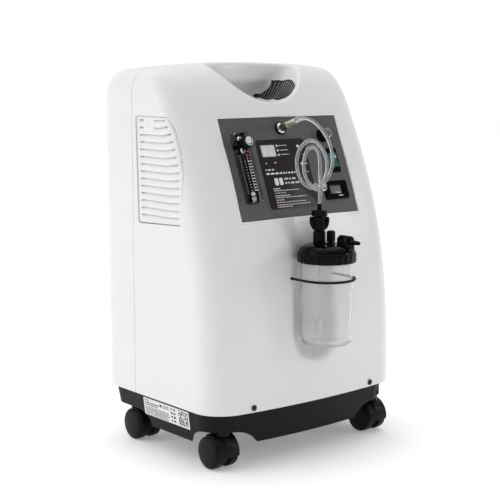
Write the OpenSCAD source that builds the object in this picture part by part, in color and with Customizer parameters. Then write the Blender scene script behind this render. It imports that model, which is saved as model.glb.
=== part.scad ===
// Stationary oxygen concentrator on casters, with a humidifier bottle.
// Every module is drawn about the middle of the cabinet's depth and moved
// by placed(), so that the whole object stands centred over the origin.

/* [Cabinet] */
// Width of the cabinet
shell_w = 380; // [376:1:384]
// Depth of the cabinet without the front's crown
shell_d = 292; // [290:1:294]
// Height of the top above the floor
shell_top = 600; // [598:1:602]
// Height of the shells' lower edge
shell_bottom = 86; // [85:1:88]
// Thickness of the shell walls
wall = 3; // [2.5:0.5:3.5]
// Radius of the front's upright corners
front_corner_r = 45; // [40:1:48]
// Radius of the rear's upright corners
rear_corner_r = 30; // [26:1:34]
// How far the front bulges in its middle
front_crown = 9; // [6:1:10]
// Distance of the seam between the shells behind the cabinet's middle
seam_y = 56; // [55:1:58]

/* [Control panel] */
// Width of the panel
panel_w = 237; // [234:1:240]
// Height of the panel, measured up the slope
panel_h = 160; // [158:1:162]
// Lean of the panel from upright, in degrees
panel_tilt = 21.5; // [21:0.5:22]

/* [Humidifier bottle] */
// Radius of the jar
jar_r = 40; // [38:1:41]
// Height of the jar's foot above the floor
jar_z = 179; // [178:1:182]
// Distance of the bottle's axis in front of the cabinet's middle
bottle_y = 177; // [177:1:178]
// Radius of the pocket that holds the bottle
pocket_r = 48; // [47:1:50]

/* [Casters] */
// Radius of a wheel
wheel_r = 25; // [24:0.5:25]
// Width of one wheel
wheel_w = 17; // [16:0.5:17]
// Distance of the casters from the middle plane
caster_x = 155; // [153:1:156]
// How far a wheel trails behind its swivel
caster_trail = 10; // [8:1:10]

/* [Hidden] */
$fn = 64;
eps = 0.5;

// --- Frame ---
// The bottle's barb is the foremost point and the filter cover the rearmost.
barb_reach = 53;
cover_proud = 4;
frame_y = (bottle_y + barb_reach - shell_d / 2 - cover_proud) / 2;

// --- Colours ---
white = [0.93, 0.93, 0.92];
pale = [0.80, 0.81, 0.81];
grey = [0.36, 0.36, 0.37];
black = [0.05, 0.05, 0.055];
clear = [0.85, 0.90, 0.92, 0.35];
frosted = [0.88, 0.90, 0.91, 0.5];
steel = [0.70, 0.71, 0.73];
brass = [0.62, 0.58, 0.42];
teal = [0.10, 0.42, 0.42];

// --- Cabinet outline ---
// Tangent prisms that shape the front: [y, z, lean in degrees] of a point on the
// middle of the front and the front's slope there.
front_tangents = [[-157, 110, 0], [-155, 200, 3.5], [-147.5, 270, 8.5], [-135, 330, 14.5],
    [-120, 384, 20], [-98, 445, 24.5], [-74, 499, 27], [-50, 540, 35], [-30, 568, 48],
    [-10, 586, 65]];
rear_tangents = [[shell_d / 2, 300, 0], [140, 580, -30], [122, 595, -62]];
// Length that is out of reach of the cabinet
reach = 1200;
top_z = shell_top;
shoulder_r = 36;
shoulder_z = 556;

// --- Panel placement: the middle of the panel's lower edge ---
panel_y = -123;
panel_z = 367;
panel_t = 4;
panel_recess = 1;
// Level of the panel's face
face = -panel_recess;

// --- Grip recess: a bowl with an eye-shaped mouth, and a cave under the grip ---
bowl_low = 532;
bowl_r = 110;
// Front and back edges of the mouth, [radius, distance of its middle behind the cabinet's]
mouth_front = [142, -53.5];
mouth_back = [210, 36];
cave_half_w = 64;
cave_top = 566;
cave_back = 52;

// --- Bottle ---
pocket_low = 194;
lid_z = 304;
lid_top = 330;
jar_wall = 2;
neck_r = 38;
neck_h = 12;
stem_top = 389;

// --- Flowmeter, at its place on the panel ---
flow_x = -90;
flow_low = 26;
flow_high = 134;
flow_w = 25;
knob_up = 116;
float_r = 4;
float_up = 40;

// --- Panel fittings: [x, up] ---
outlet_at = [-1.5, 141];
nebuliser_at = [81, 126.5];
switch_at = [88.5, 85];
meter_at = [81.5, 36.5];

// --- Base ---
base_low = 34;
base_top = 100;
deck_z = 64;
deck_t = 4;
base_inset = 5;
base_draft = 9;
plate_z = 68;

// --- Casters ---
caster_front_y = -110;
caster_rear_y = 88;
swivel_ys = [caster_front_y - caster_trail, caster_rear_y - caster_trail];
wheel_gap = 12;
axle_r = 3;
stem_r = 5.5;

// --- Free tube from the outlet to the bottle ---
tube_r = 2.6;
tube_sides = 8;
// Route points, about the cabinet's middle
tube_route = [[-1.5, -105, 511], [-1.5, -113, 514], [1, -120.5, 515.5], [8, -126, 514],
    [17, -130, 508.5], [26, -133, 500], [34, -136, 489], [40, -139, 475], [42, -142, 460],
    [39.5, -145, 445], [32, -148, 432], [21, -150, 421], [8, -151, 414], [-6, -152, 412],
    [-19, -153, 416], [-30, -154, 424], [-38, -155, 435], [-42, -156, 447], [-42, -156, 460],
    [-36, -156, 473], [-25, -156, 482], [-12, -156, 484], [1, -156, 478], [12, -156, 466],
    [18, -156, 451], [17, -157, 436], [10, -157.5, 423], [0, -158, 415], [-12, -159, 415],
    [-24, -161, 423], [-32, -162, 435], [-35, -163, 448], [-34, -164, 461],
    [-28, -164.5, 472], [-18, -165, 475], [-9.5, -165, 469], [-5.5, -165, 458],
    [-4.5, -165, 445], [-4.5, -165.5, 432], [-4, -166, 420], [-2, -164, 408], [0, -161, 398],
    [0, -160, 389]];

// === Shared helpers ===

module placed() translate([0, frame_y, 0]) children();

// Stands children on the sloping panel: x across, y up the slope, z out of it.
module on_panel(x = 0, up = 0, out = 0)
    translate([0, panel_y, panel_z]) rotate([90 - panel_tilt, 0, 0])
        translate([x, up, out]) children();

function arc(cx, cy, r, a0, a1, n) =
    [for (i = [0 : n]) let (a = a0 + (a1 - a0) * i / n) [cx + r * cos(a), cy + r * sin(a)]];

// Plan of the cabinet with its crowned front at y = 0 and its back at y = depth.
function plan_points(half_w, depth, rf, rr, crown) = concat(
    [for (i = [-4 : 4]) let (t = i / 4) [t * (half_w - rf), crown * t * t]],
    arc(half_w - rf, crown + rf, rf, -90, 0, 6),
    arc(half_w - rr, depth - rr, rr, 0, 90, 5),
    arc(-half_w + rr, depth - rr, rr, 90, 180, 5),
    arc(-half_w + rf, crown + rf, rf, 180, 270, 6));

// Prism of the cabinet's plan, leaning back by at[2] about the point [at[0], at[1]]
// of its front, with its back out of reach.
module leaning_prism(at, inset) {
    translate([0, at[0], at[1]]) rotate([-at[2], 0, 0]) translate([0, inset, 0])
        plan_prism(inset);
}

// The same for its back, with its front out of reach.
module rear_prism(at, inset) {
    translate([0, at[0], at[1]]) rotate([-at[2], 0, 0]) translate([0, -reach - inset, 0])
        plan_prism(inset);
}

module plan_prism(inset) {
    linear_extrude(2 * reach, center = true)
        polygon(plan_points(shell_w / 2 - inset, reach, front_corner_r - inset,
            rear_corner_r - inset, front_crown));
}

// Front view of the cabinet: upright sides, round shoulders and a crowned top.
module front_view(inset) {
    half = shell_w / 2 - inset;
    r = shoulder_r - inset;
    top = [for (i = [-6 : 6]) let (t = -i / 6)
        [t * (half - r), top_z - inset - 8 * t * t]];
    polygon(concat([[-half, 0], [half, 0]],
        arc(half - r, shoulder_z, r, 0, 82, 7), top,
        arc(-half + r, shoulder_z, r, 98, 180, 7)));
}

// The closed outer form of the cabinet, drawn in by inset.
module cabinet_form(inset = 0) {
    intersection() {
        rotate([90, 0, 0]) linear_extrude(800, center = true) front_view(inset);
        intersection_for (at = front_tangents) leaning_prism(at, inset);
        intersection_for (at = rear_tangents) rear_prism(at, inset);
    }
}

// Rounded rectangle with true arcs, centred.
module round_rect(w, h, r) {
    union() {
        square([w - 2 * r, h], center = true);
        square([w, h - 2 * r], center = true);
        for (x = [-1, 1], y = [-1, 1])
            translate([x * (w / 2 - r), y * (h / 2 - r)]) circle(r);
    }
}

module round_box(w, h, t, r) linear_extrude(t) round_rect(w, h, r);

// === Cabinet ===

// Side outline of the vents, [y, z], and their louvre slots
vent_outline = [[47, 519], [-30, 519], [-45, 500], [-59, 468], [-68, 438], [-70, 400],
    [-69, 361], [42, 356]];
vent_slots = 14;
vent_pitch = 11;
vent_top = 512;
vent_recess = 1.5;

module vent_plate(x0, t, grow = 0)
    translate([x0, 0, 0]) rotate([90, 0, 90]) linear_extrude(t)
        offset(delta = grow) polygon(vent_outline);

// Both edges of the mouth are arcs that meet in a point at each side.
module mouth_plan(grow) {
    intersection() {
        translate([0, mouth_front[1] + mouth_front[0]]) circle(mouth_front[0] + grow, $fn = 96);
        translate([0, mouth_back[1] - mouth_back[0]]) circle(mouth_back[0] + grow, $fn = 96);
    }
}

module handle_space(grow = 0) {
    intersection() {
        translate([0, 200, bowl_low + bowl_r]) rotate([90, 0, 0])
            cylinder(r = bowl_r + grow, h = 400, $fn = 96);
        union() {
            linear_extrude(800) mouth_plan(grow);
            translate([-cave_half_w - grow, 0, 400])
                cube([2 * (cave_half_w + grow), cave_back + grow, cave_top + grow - 400]);
        }
    }
}

module pocket_space(grow = 0) {
    translate([0, -bottle_y, pocket_low]) {
        sphere(pocket_r + grow);
        cylinder(r = pocket_r + grow, h = 220);
    }
}

// Two screws through the front shell's lower edge into the base
screw_x = 120;
screw_y = -151.4;
screw_z = 93;

module screw_holes(r) {
    for (x = [-1, 1]) translate([x * screw_x, screw_y, screw_z]) rotate([90, 0, 0])
        cylinder(r = r, h = 40, center = true, $fn = 32);
}

module front_shell() color(white) placed() {
    difference() {
        union() {
            difference() {
                cabinet_form(0);
                cabinet_form(wall);
            }
            intersection() {
                cabinet_form(wall / 2);
                union() {
                    handle_space(wall);
                    pocket_space(wall);
                    on_panel(0, panel_h / 2, -8)
                        round_box(panel_w + 10, panel_h + 10, 20, 6);
                }
            }
        }
        half_behind();
        handle_space();
        pocket_space();
        on_panel(0, panel_h / 2, face - panel_t - 0.02) round_box(panel_w, panel_h, 60, 3);
        on_panel(0, panel_h / 2, -30) round_box(panel_w - 14, panel_h - 14, 60, 3);
        vent_plate(-200, 40, -3);
        vent_plate(160, 40, -3);
        vent_plate(-shell_w / 2 - 1, 1 + vent_recess);
        vent_plate(shell_w / 2 - vent_recess, 1 + vent_recess);
        louvre_window(-1);
        louvre_window(1);
        screw_holes(2.4);
        strap_holes(2.3);
    }
}

// Cuts away all that is behind the seam or below the lower edge.
module half_behind() {
    translate([-400, seam_y - eps / 2, 0]) cube([800, 800, 800]);
    translate([-400, -400, -100]) cube([800, 1200, 100 + shell_bottom]);
}

module rear_shell() color(white) placed() {
    difference() {
        cabinet_form(0);
        cabinet_form(wall);
        translate([-400, -400, 0]) cube([800, 400 + seam_y + eps / 2, 800]);
        translate([-400, -400, -100]) cube([800, 1200, 100 + shell_bottom]);
        rear_rect(0, filter_z, filter_w - 16, filter_h - 16, 40);
        rear_rect(inlet_x, inlet_z, 28.4, 22.4, 40);
        translate([breaker_x, 100, inlet_z]) rotate([-90, 0, 0]) cylinder(r = 6.2, h = 80);
        for (i = [0 : exhaust_slots - 1])
            rear_rect(exhaust_x, exhaust_z + i * 10, 120, 5, 40);
    }
}

// A box through the rear wall.
module rear_rect(x, z, w, h, t)
    translate([x - w / 2, shell_d / 2 - t / 2, z - h / 2]) cube([w, t, h]);

module louvre_place(side)
    translate([side * 62, -3, bowl_low + 19]) rotate([0, -side * 34, 0]) children();

// The window behind each louvre insert at the ends of the handle recess.
module louvre_window(side) {
    louvre_place(side) cube([27, 44, 16], center = true);
}

module strap_holes(r) {
    for (x = [-1, 1]) translate([x * (jar_r + 2.3), -140, strap_z]) rotate([90, 0, 0])
        cylinder(r = r, h = 30, center = true, $fn = 24);
}

strap_z = 278;
filter_z = 380;
filter_w = 170;
filter_h = 210;
inlet_x = -115;
inlet_z = 135;
breaker_x = -72;
exhaust_x = 55;
exhaust_z = 120;
exhaust_slots = 8;

// Trapezium prism for the base: sides draft inward towards the floor.
module draft_prism(half_top, half_low, turn) {
    rotate([90, 0, turn]) linear_extrude(800, center = true)
        polygon([[-half_low, base_low], [half_low, base_low],
            [half_top, base_top], [-half_top, base_top]]);
}

// Rounded plan of the base, drawn in by inset.
module base_plan(inset) {
    translate([0, -shell_d / 2 - front_crown + base_inset + inset])
        polygon(plan_points(shell_w / 2 - base_inset - inset,
            shell_d + front_crown - 2 * (base_inset + inset),
            front_corner_r - inset, rear_corner_r - inset, front_crown));
}

module base_form(inset) {
    intersection() {
        linear_extrude(400) base_plan(inset);
        draft_prism(shell_w / 2 - base_inset - inset,
            shell_w / 2 - base_inset - base_draft - inset, 0);
        draft_prism(shell_d / 2 + front_crown - base_inset - inset,
            shell_d / 2 + front_crown - base_inset - base_draft - inset, 90);
    }
}

// Room for a caster to swivel under one corner: the skirt arches up over the wheels.
// The front and rear edges of the arch are [distance from the swivel, height].
arch = [[44, base_low - 1], [41, 45], [33, 52], [14, deck_z - 4]];

module corner_cut(side, y, way) {
    top = [[-way * 200, deck_z - 4], [-way * 200, base_low - 1]];
    intersection() {
        rotate([90, 0, 0]) linear_extrude(800, center = true)
            polygon([[side * 94, base_low - 1], [side * 124, deck_z - 4],
                [side * 260, deck_z - 4], [side * 260, base_low - 1]]);
        translate([0, y, 0]) rotate([90, 0, 90]) linear_extrude(800, center = true)
            polygon(concat([for (p = arch) [way * p[0], p[1]]], top));
    }
}

module base() color(black) placed() {
    difference() {
        union() {
            difference() {
                base_form(0);
                for (z = [-1, 1]) translate([0, 0, z]) base_form(wall);
                translate([-400, -400, 20]) cube([800, 800, base_low - 19.9]);
            }
            intersection() {
                base_form(1);
                translate([-300, -300, deck_z]) cube([600, 600, deck_t]);
            }
            for (side = [-1, 1], y = swivel_ys)
                translate([side * caster_x, y, deck_z - 2]) cylinder(r = 13, h = 22);
        }
        for (side = [-1, 1]) {
            corner_cut(side, swivel_ys[0], 1);
            corner_cut(side, swivel_ys[1], -1);
            for (y = swivel_ys)
                translate([side * caster_x, y, deck_z - 10])
                    cylinder(r = stem_r + 0.05, h = 40);
        }
        screw_holes(1.9);
    }
}

module side_vent(side) {
    mirror([side > 0 ? 0 : 1, 0, 0]) difference() {
        union() {
            intersection() {
                vent_plate(shell_w / 2 - wall - 2.1, 2, -0.4);
                cabinet_form(wall + 0.1);
            }
            intersection() {
                vent_plate(shell_w / 2 - wall - 2.1, 10, -3.3);
                cabinet_form(vent_recess + 0.1);
            }
        }
        for (i = [0 : vent_slots - 1]) vent_slot(i);
        translate([shell_w / 2, 14, 505]) rotate([0, 90, 0])
            cylinder(r = 2, h = 20, center = true);
    }
}

// One louvre slot; the first two rows stop short of the screw boss.
module vent_slot(i) {
    z = vent_top - i * vent_pitch;
    front_y = i < 2 ? -24 : max(-62, -28 - 3.6 * i);
    back_y = 38 - i * 0.25;
    spans = i < 2 ? [[front_y, 0], [27, back_y]] : [[front_y, back_y]];
    for (s = spans) translate([shell_w / 2 - 10, s[0], z]) cube([20, s[1] - s[0], 3.4]);
}

module side_vent_left() color(white) placed() side_vent(-1);
module side_vent_right() color(white) placed() side_vent(1);

// Ribbed insert in one end of the handle recess.
module intake_louvre(side) {
    louvre_place(side) difference() {
        cube([26, 43, 3], center = true);
        for (i = [-3 : 3]) translate([0, i * 5.6, 0]) cube([21, 3, 10], center = true);
    }
}

module intake_louvre_left() color(black) placed() intake_louvre(-1);
module intake_louvre_right() color(black) placed() intake_louvre(1);

// === Control panel ===

module control_panel() color(grey) placed() {
    difference() {
        on_panel(0, panel_h / 2, face - panel_t)
            round_box(panel_w - 1, panel_h - 1, panel_t, 3);
        on_panel(flow_x, (flow_low + flow_high) / 2, -20)
            round_box(flow_w - 3, flow_high - flow_low - 3, 40, 3);
        on_panel(outlet_at[0], outlet_at[1], -20) cylinder(r = 6.1, h = 40);
        on_panel(nebuliser_at[0], nebuliser_at[1], -20) cylinder(r = 6.1, h = 40);
        on_panel(switch_at[0], switch_at[1], -20) round_box(22.2, 32.2, 40, 1);
        on_panel(meter_at[0], meter_at[1], -20) round_box(44, 25, 40, 2);
    }
}

module panel_label() color([0.13, 0.11, 0.11]) placed() {
    difference() {
        on_panel(-9, 69, face + 0.02) round_box(98, 110, 0.5, 5);
        on_panel(-36.2, 106.2, face - 1) round_box(27.6, 18.6, 3, 1);
    }
}

module status_window() color(pale) placed()
    on_panel(-36.2, 106.2, face + 0.02) round_box(27.4, 18.4, 0.9, 1);

module hour_meter() color(black) placed() {
    difference() {
        union() {
            on_panel(meter_at[0], meter_at[1], face + 0.02) round_box(49, 30, 3, 4);
            on_panel(meter_at[0], meter_at[1], face - 18) round_box(43.8, 24.8, 18.1, 2);
        }
        on_panel(meter_at[0] - 1, meter_at[1] + 0.7, face + 1.6) round_box(23, 12.4, 5, 0.8);
    }
}

rocker_w = 19;
rocker_h = 26;

module switch_bezel() color(black) placed() {
    difference() {
        union() {
            on_panel(switch_at[0], switch_at[1], face + 0.02) round_box(27, 40, 2.2, 2);
            on_panel(switch_at[0], switch_at[1], face - 22) round_box(22, 32, 22.1, 1);
        }
        on_panel(switch_at[0], switch_at[1], face - 14)
            round_box(rocker_w + 0.8, rocker_h + 0.8, 40, 0.6);
        on_panel(switch_at[0], switch_at[1], face - 2) rotate([0, 90, 0])
            cylinder(r = 1.55, h = rocker_w + 2.4, center = true, $fn = 24);
    }
}

module power_rocker() color(teal) placed() {
    on_panel(switch_at[0], switch_at[1], face - 2) {
        difference() {
            rotate([0, 90, 0]) cylinder(r = rocker_h / 2, h = rocker_w, center = true);
            translate([-20, -20, -40]) cube([40, 40, 34]);
            translate([0, 0, 34]) rotate([0, 90, 0]) cylinder(r = 29, h = 40, center = true);
        }
        rotate([0, 90, 0]) cylinder(r = 1.5, h = rocker_w + 2, center = true, $fn = 24);
    }
}

module flowmeter_body() color(clear) placed() {
    mid = (flow_low + flow_high) / 2;
    difference() {
        union() {
            on_panel(flow_x, mid, face - 10) round_box(flow_w - 3.2, flow_high - flow_low - 3.2, 10, 3);
            on_panel(flow_x, mid, face + 0.02) round_box(flow_w, flow_high - flow_low, 12, 2.5);
        }
        on_panel(flow_x, float_up - float_r, face + 4) rotate([-90, 0, 0])
            cylinder(r = float_r + 0.6, h = 66);
        on_panel(flow_x, knob_up, face) cylinder(r = 3.05, h = 40);
    }
}

module flowmeter_float() color(steel) placed()
    on_panel(flow_x, float_up + 0.05, face + 4) sphere(float_r - 0.05);

module flow_knob() color(black) placed() {
    on_panel(flow_x, knob_up, face + 0.6) cylinder(r = 3, h = 13);
    on_panel(flow_x, knob_up, face + 12.4) difference() {
        cylinder(r = 9.5, h = 14);
        for (i = [0 : 23]) rotate([0, 0, i * 15]) translate([9.8, 0, 1.5])
            cylinder(r = 0.6, h = 11, $fn = 16);
        translate([0, 0, 12.8]) cylinder(r = 7.2, h = 3);
    }
}

module oxygen_outlet() color(brass) placed()
    on_panel(outlet_at[0], outlet_at[1], 0) difference() {
        rotate_extrude() polygon([[0, -14], [5.9, -14], [5.9, face + 0.02], [10, face + 0.02],
            [10, face + 3], [8.5, face + 4.5], [6.5, 5], [5.6, 8], [4.6, 18], [3.4, 19],
            [3.4, 22], [4, 22.5], [3, 27], [4, 27.5], [3, 32], [3.6, 32.5], [2.6, 36], [0, 36]]);
        translate([0, 0, -20]) cylinder(r = 1.6, h = 80, $fn = 32);
    }

module nebuliser_outlet() color(black) placed()
    on_panel(nebuliser_at[0], nebuliser_at[1], 0) difference() {
        rotate_extrude() polygon([[0, -14], [5.9, -14], [5.9, face + 0.02], [11, face + 0.02],
            [11, face + 2], [9.5, face + 4], [5.5, 4], [4, 5], [4, 12], [0, 12]]);
        translate([0, 0, -20]) cylinder(r = 1.6, h = 80, $fn = 32);
    }

module nebuliser_cap() color(clear) placed()
    on_panel(nebuliser_at[0], nebuliser_at[1], 0) difference() {
        rotate_extrude() polygon([[0, 5.1], [5.4, 5.1], [6.2, 7], [8, 9], [8, 15], [6.8, 17],
            [0, 17]]);
        translate([0, 0, 4]) cylinder(r = 4.05, h = 9);
    }

// === Free tube ===

function unit(v) = v / norm(v);

// Direction of the route at point i.
function heading(p, i) = unit(p[min(i + 1, len(p) - 1)] - p[max(i - 1, 0)]);

// Ring of points round the route at point i.
function ring(p, i, r, n) =
    let (t = heading(p, i), u = unit(cross(t, [0.3, 1, 0.2])), v = cross(t, u))
        [for (k = [0 : n - 1]) p[i] + r * (cos(k * 360 / n) * u + sin(k * 360 / n) * v)];

module swept_tube(p, r, n) {
    last = len(p) - 1;
    points = [for (i = [0 : last], q = ring(p, i, r, n)) q];
    sides = [for (i = [0 : last - 1], k = [0 : n - 1]) let (j = (k + 1) % n)
        [i * n + k, i * n + j, (i + 1) * n + j, (i + 1) * n + k]];
    polyhedron(points, concat([[for (k = [n - 1 : -1 : 0]) k]], sides,
        [[for (k = [0 : n - 1]) last * n + k]]));
}

module oxygen_tube() color(clear) placed() swept_tube(tube_route, tube_r, tube_sides);

// Clip that ties the tube's loops together.
module tube_clip() color(clear) placed()
    translate([2, -158.5, 414]) difference() {
        cube([9, 22, 12], center = true);
        cube([12, 18.5, 8.6], center = true);
        translate([-2.5, -5.5, 0]) cylinder(r = 3.2, h = 40, center = true);
    }

// === Humidifier bottle ===

module on_bottle() translate([0, -bottle_y, 0]) children();

module bottle_strap() color(black) placed()
    translate([0, 0, strap_z]) {
        translate([0, -bottle_y, 0]) rotate([0, 0, 180]) rotate_extrude(angle = 180)
            translate([jar_r + 2.3, 0]) circle(2);
        for (x = [-1, 1]) translate([x * (jar_r + 2.3), -bottle_y, 0]) rotate([-90, 0, 0])
            cylinder(r = 2, h = 42, $fn = 32);
    }

module humidifier_lid() color(black) placed() on_bottle() {
    difference() {
        rotate_extrude() polygon([[0, lid_top - 3], [neck_r - 3, lid_top - 8.4],
            [neck_r + 0.06, lid_z + neck_h + 0.5], [neck_r + 0.06, lid_z], [44.5, lid_z],
            [44.5, lid_z + 15], [42, lid_z + 17], [37, lid_z + 20], [30, lid_top], [0, lid_top]]);
        for (at = [[0, 17], [22, 15], [16, -14]]) translate([at[0], at[1], lid_z])
            cylinder(r = 4.05, h = 60, $fn = 48);
        for (i = [0 : 35]) rotate([0, 0, i * 10]) translate([45.2, 0, lid_z - 1])
            cylinder(r = 1.3, h = 16, $fn = 16);
    }
}

module humidifier_jar() color(frosted) placed() on_bottle()
    rotate_extrude() polygon([[0, jar_z + 3], [16, jar_z + 2], [20, jar_z], [33, jar_z],
        [37, jar_z + 4], [38, jar_z + 12], [39, jar_z + 13], [jar_r - 0.8, jar_z + 60],
        [jar_r, lid_z - 3], [neck_r, lid_z - 0.4], [neck_r, lid_z + neck_h],
        [neck_r - jar_wall, lid_z + neck_h], [neck_r - jar_wall, lid_z - 4],
        [jar_r - 2.8, jar_z + 60], [36, jar_z + 14], [34, jar_z + 5], [20, jar_z + 4],
        [16, jar_z + 5], [0, jar_z + 6]]);

// Inlet: boss, stem, and a dip tube ending in a diffuser near the jar's foot.
module humidifier_inlet() color(black) placed() translate([0, -160, 0]) {
    difference() {
        rotate_extrude() polygon([[0, jar_z + 14], [5, jar_z + 14], [5, jar_z + 32],
            [2.6, jar_z + 33], [2.6, lid_z + 4], [4, lid_z + 5], [4, lid_top + 0.02], [9, lid_top + 0.02],
            [9, 348], [3.7, 348.6], [3.7, 370.6], [12, 370.6], [12, 378.5], [3.7, 379],
            [3.4, stem_top], [0, stem_top]]);
        translate([0, 0, jar_z + 20]) cylinder(r = 1.5, h = 300, $fn = 32);
    }
}

module inlet_wing_nut() color(black) placed() translate([0, -160, 0]) {
    difference() {
        union() {
            translate([0, 0, 349]) cylinder(r = 9, h = 20.5);
            rotate([90, 0, 0]) linear_extrude(5, center = true)
                polygon([[-9, 350], [9, 350], [14, 358], [15, 366], [13, 369.5], [-13, 369.5],
                    [-15, 366], [-14, 358]]);
        }
        cylinder(r = 3.76, h = 500);
    }
}

valve_x = 22;
valve_y = -162;

module relief_valve() color(black) placed() translate([valve_x, valve_y, 0])
    rotate_extrude() polygon([[0, lid_z + 12], [3.98, lid_z + 12], [3.98, lid_top + 0.4],
        [6.7, lid_top + 0.4], [6.7, 345], [5.7, 347], [0, 347]]);

elbow_x = 16;
elbow_y = -bottle_y - 14;
elbow_z = 335;

module outlet_elbow() color(black) placed() {
    difference() {
        union() {
            translate([elbow_x, elbow_y, lid_z + 14]) cylinder(r = 4, h = elbow_z - lid_z - 16, $fn = 48);
            translate([elbow_x, elbow_y, lid_top + 0.02]) cylinder(r = 6.5, h = 12);
            translate([elbow_x, elbow_y, elbow_z]) rotate([90, 0, 0]) rotate_extrude()
                polygon([[0, -5], [5, -5], [5, 10], [3.2, 11], [3.2, 14], [4.2, 14],
                    [3.2, 18], [4.2, 18], [3.2, 22], [3.2, 39], [0, 39]]);
            translate([elbow_x, elbow_y + 4, lid_top + 7.1]) cube([3, 14, 14], center = true);
        }
        translate([elbow_x, elbow_y, lid_z]) cylinder(r = 1.5, h = elbow_z - lid_z + 1.2, $fn = 32);
        translate([elbow_x, elbow_y + 2.6, elbow_z]) rotate([90, 0, 0])
            cylinder(r = 1.8, h = 60, $fn = 32);
    }
}

// === Base details ===

base_lean = atan(base_draft / (base_top - base_low));

module nameplate() color([0.95, 0.95, 0.95]) placed()
    translate([-shell_w / 2 + base_inset, -18.5, base_top]) rotate([0, -base_lean, 0])
        translate([-0.02, 0, (plate_z - base_top) / cos(base_lean)])
            rotate([90, 0, -90]) round_box(121, 27, 0.4, 1);

module shell_screws() color(black) placed() {
    for (x = [-1, 1]) translate([x * screw_x, screw_y, screw_z]) rotate([90, 0, 0]) {
        cylinder(r = 4.6, h = 1.6);
        translate([0, 0, -10]) cylinder(r = 1.85, h = 10.5, $fn = 32);
    }
}

// === Rear ===

module filter_cover() color(pale) placed()
    translate([0, shell_d / 2, filter_z]) rotate([-90, 0, 0]) {
        difference() {
            union() {
                translate([0, 0, 0.35]) round_box(filter_w, filter_h, cover_proud - 0.35, 8);
                translate([0, 0, -8]) round_box(filter_w - 17, filter_h - 17, 9, 4);
            }
            translate([0, 0, -9]) round_box(filter_w - 23, filter_h - 23, 10.5, 3);
            for (i = [-10 : 10]) translate([0, i * 8.6, 0]) cube([filter_w - 36, 4.2, 30], center = true);
        }
    }

module filter_foam() color([0.25, 0.25, 0.26]) placed()
    translate([0, shell_d / 2 - 8, filter_z]) rotate([-90, 0, 0])
        round_box(filter_w - 23.6, filter_h - 23.6, 9.2, 3);

module power_inlet() color(black) placed()
    translate([inlet_x, shell_d / 2, inlet_z]) rotate([-90, 0, 0]) {
        difference() {
            union() {
                translate([0, 0, 0.02]) round_box(48, 26, 2.6, 3);
                translate([0, 0, -26]) round_box(28, 22, 26.1, 2);
            }
            translate([0, 0, -16]) round_box(24, 17, 30, 4);
        }
        for (x = [-7, 0, 7]) translate([x - 1, x == 0 ? -5 : -1, -16.5]) cube([2, 4.6, 14]);
    }

module breaker_button() color([0.1, 0.1, 0.1]) placed()
    translate([breaker_x, shell_d / 2 - 12, inlet_z]) rotate([-90, 0, 0]) {
        cylinder(r = 5.6, h = 15);
        cylinder(r = 8, h = 3);
    }

// === Inside ===

deck_top = deck_z + deck_t;
motor_z = 150;
motor_r = 46;

module compressor_housing() color(steel) placed() difference() {
    union() {
        translate([-50, 0, motor_z]) rotate([0, 90, 0]) cylinder(r = motor_r, h = 100);
        for (x = [-100, 49.5]) translate([x, -38, motor_z - 46]) cube([50.5, 76, 84]);
        for (x = [-96, 80], y = [-34, 18]) translate([x, y, motor_z - 52]) cube([16, 16, 8]);
    }
    translate([-46, 0, motor_z]) rotate([0, 90, 0]) cylinder(r = motor_r - 4, h = 92);
    for (x = [-96, 62]) translate([x, -34, motor_z - 42]) cube([34, 68, 76]);
    translate([-70, 0, motor_z]) rotate([0, 90, 0]) cylinder(r = 8.05, h = 140);
    for (x = [-79, 79]) translate([x, 0, motor_z]) cylinder(r = 22, h = 60);
}

module compressor_heads() color([0.55, 0.56, 0.58]) placed()
    for (x = [-79, 79]) translate([x, 0, motor_z + 38.1]) difference() {
        union() {
            cylinder(r = 26, h = 34);
            for (i = [0 : 4]) translate([-21, -36, 6 + i * 6]) cube([42, 72, 2.5]);
        }
        translate([0, 0, -1]) cylinder(r = 21.9, h = 29);
    }

module compressor_shaft() color(steel) placed()
    translate([0, 0, motor_z]) rotate([0, 90, 0]) {
        cylinder(r = 8, h = 168, center = true);
        cylinder(r = 36, h = 70, center = true);
        for (x = [-79, 79]) translate([3, 0, x - 5]) cylinder(r = 14, h = 10);
    }

module compressor_mounts() color([0.08, 0.08, 0.08]) placed()
    for (x = [-88, 88], y = [-26, 26]) translate([x, y, deck_top + 0.02]) {
        cylinder(r = 9, h = motor_z - 52 - deck_top - 0.04);
        cylinder(r = 13, h = 5);
    }

fan_z = 236;
fan_y = -45;

module fan_frame() color([0.12, 0.12, 0.12]) placed() translate([0, fan_y, fan_z]) difference() {
    union() {
        translate([-60, -60, 0]) cube([120, 120, 25]);
        translate([-183, -62, -3]) cube([366, 160, 3]);
    }
    translate([0, 0, -10]) difference() {
        cylinder(r = 57, h = 50);
        cylinder(r = 19, h = 13);
        for (a = [0, 90, 180, 270]) rotate([0, 0, a + 45]) translate([0, -3, 7]) cube([60, 6, 5]);
    }
    translate([0, 0, 1]) cylinder(r = 3.05, h = 10, $fn = 32);
}

module fan_rotor() color([0.16, 0.16, 0.16]) placed() translate([0, fan_y, fan_z]) {
    translate([0, 0, 4]) cylinder(r = 18, h = 18);
    translate([0, 0, 1.5]) cylinder(r = 3, h = 3, $fn = 32);
    for (a = [0 : 6]) rotate([0, 0, a * 360 / 7]) translate([17, 0, 13]) rotate([38, 0, 0])
        translate([0, -11, -1]) cube([37, 22, 2]);
}

coil_r = 4;
coil_pitch = 20;

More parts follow.
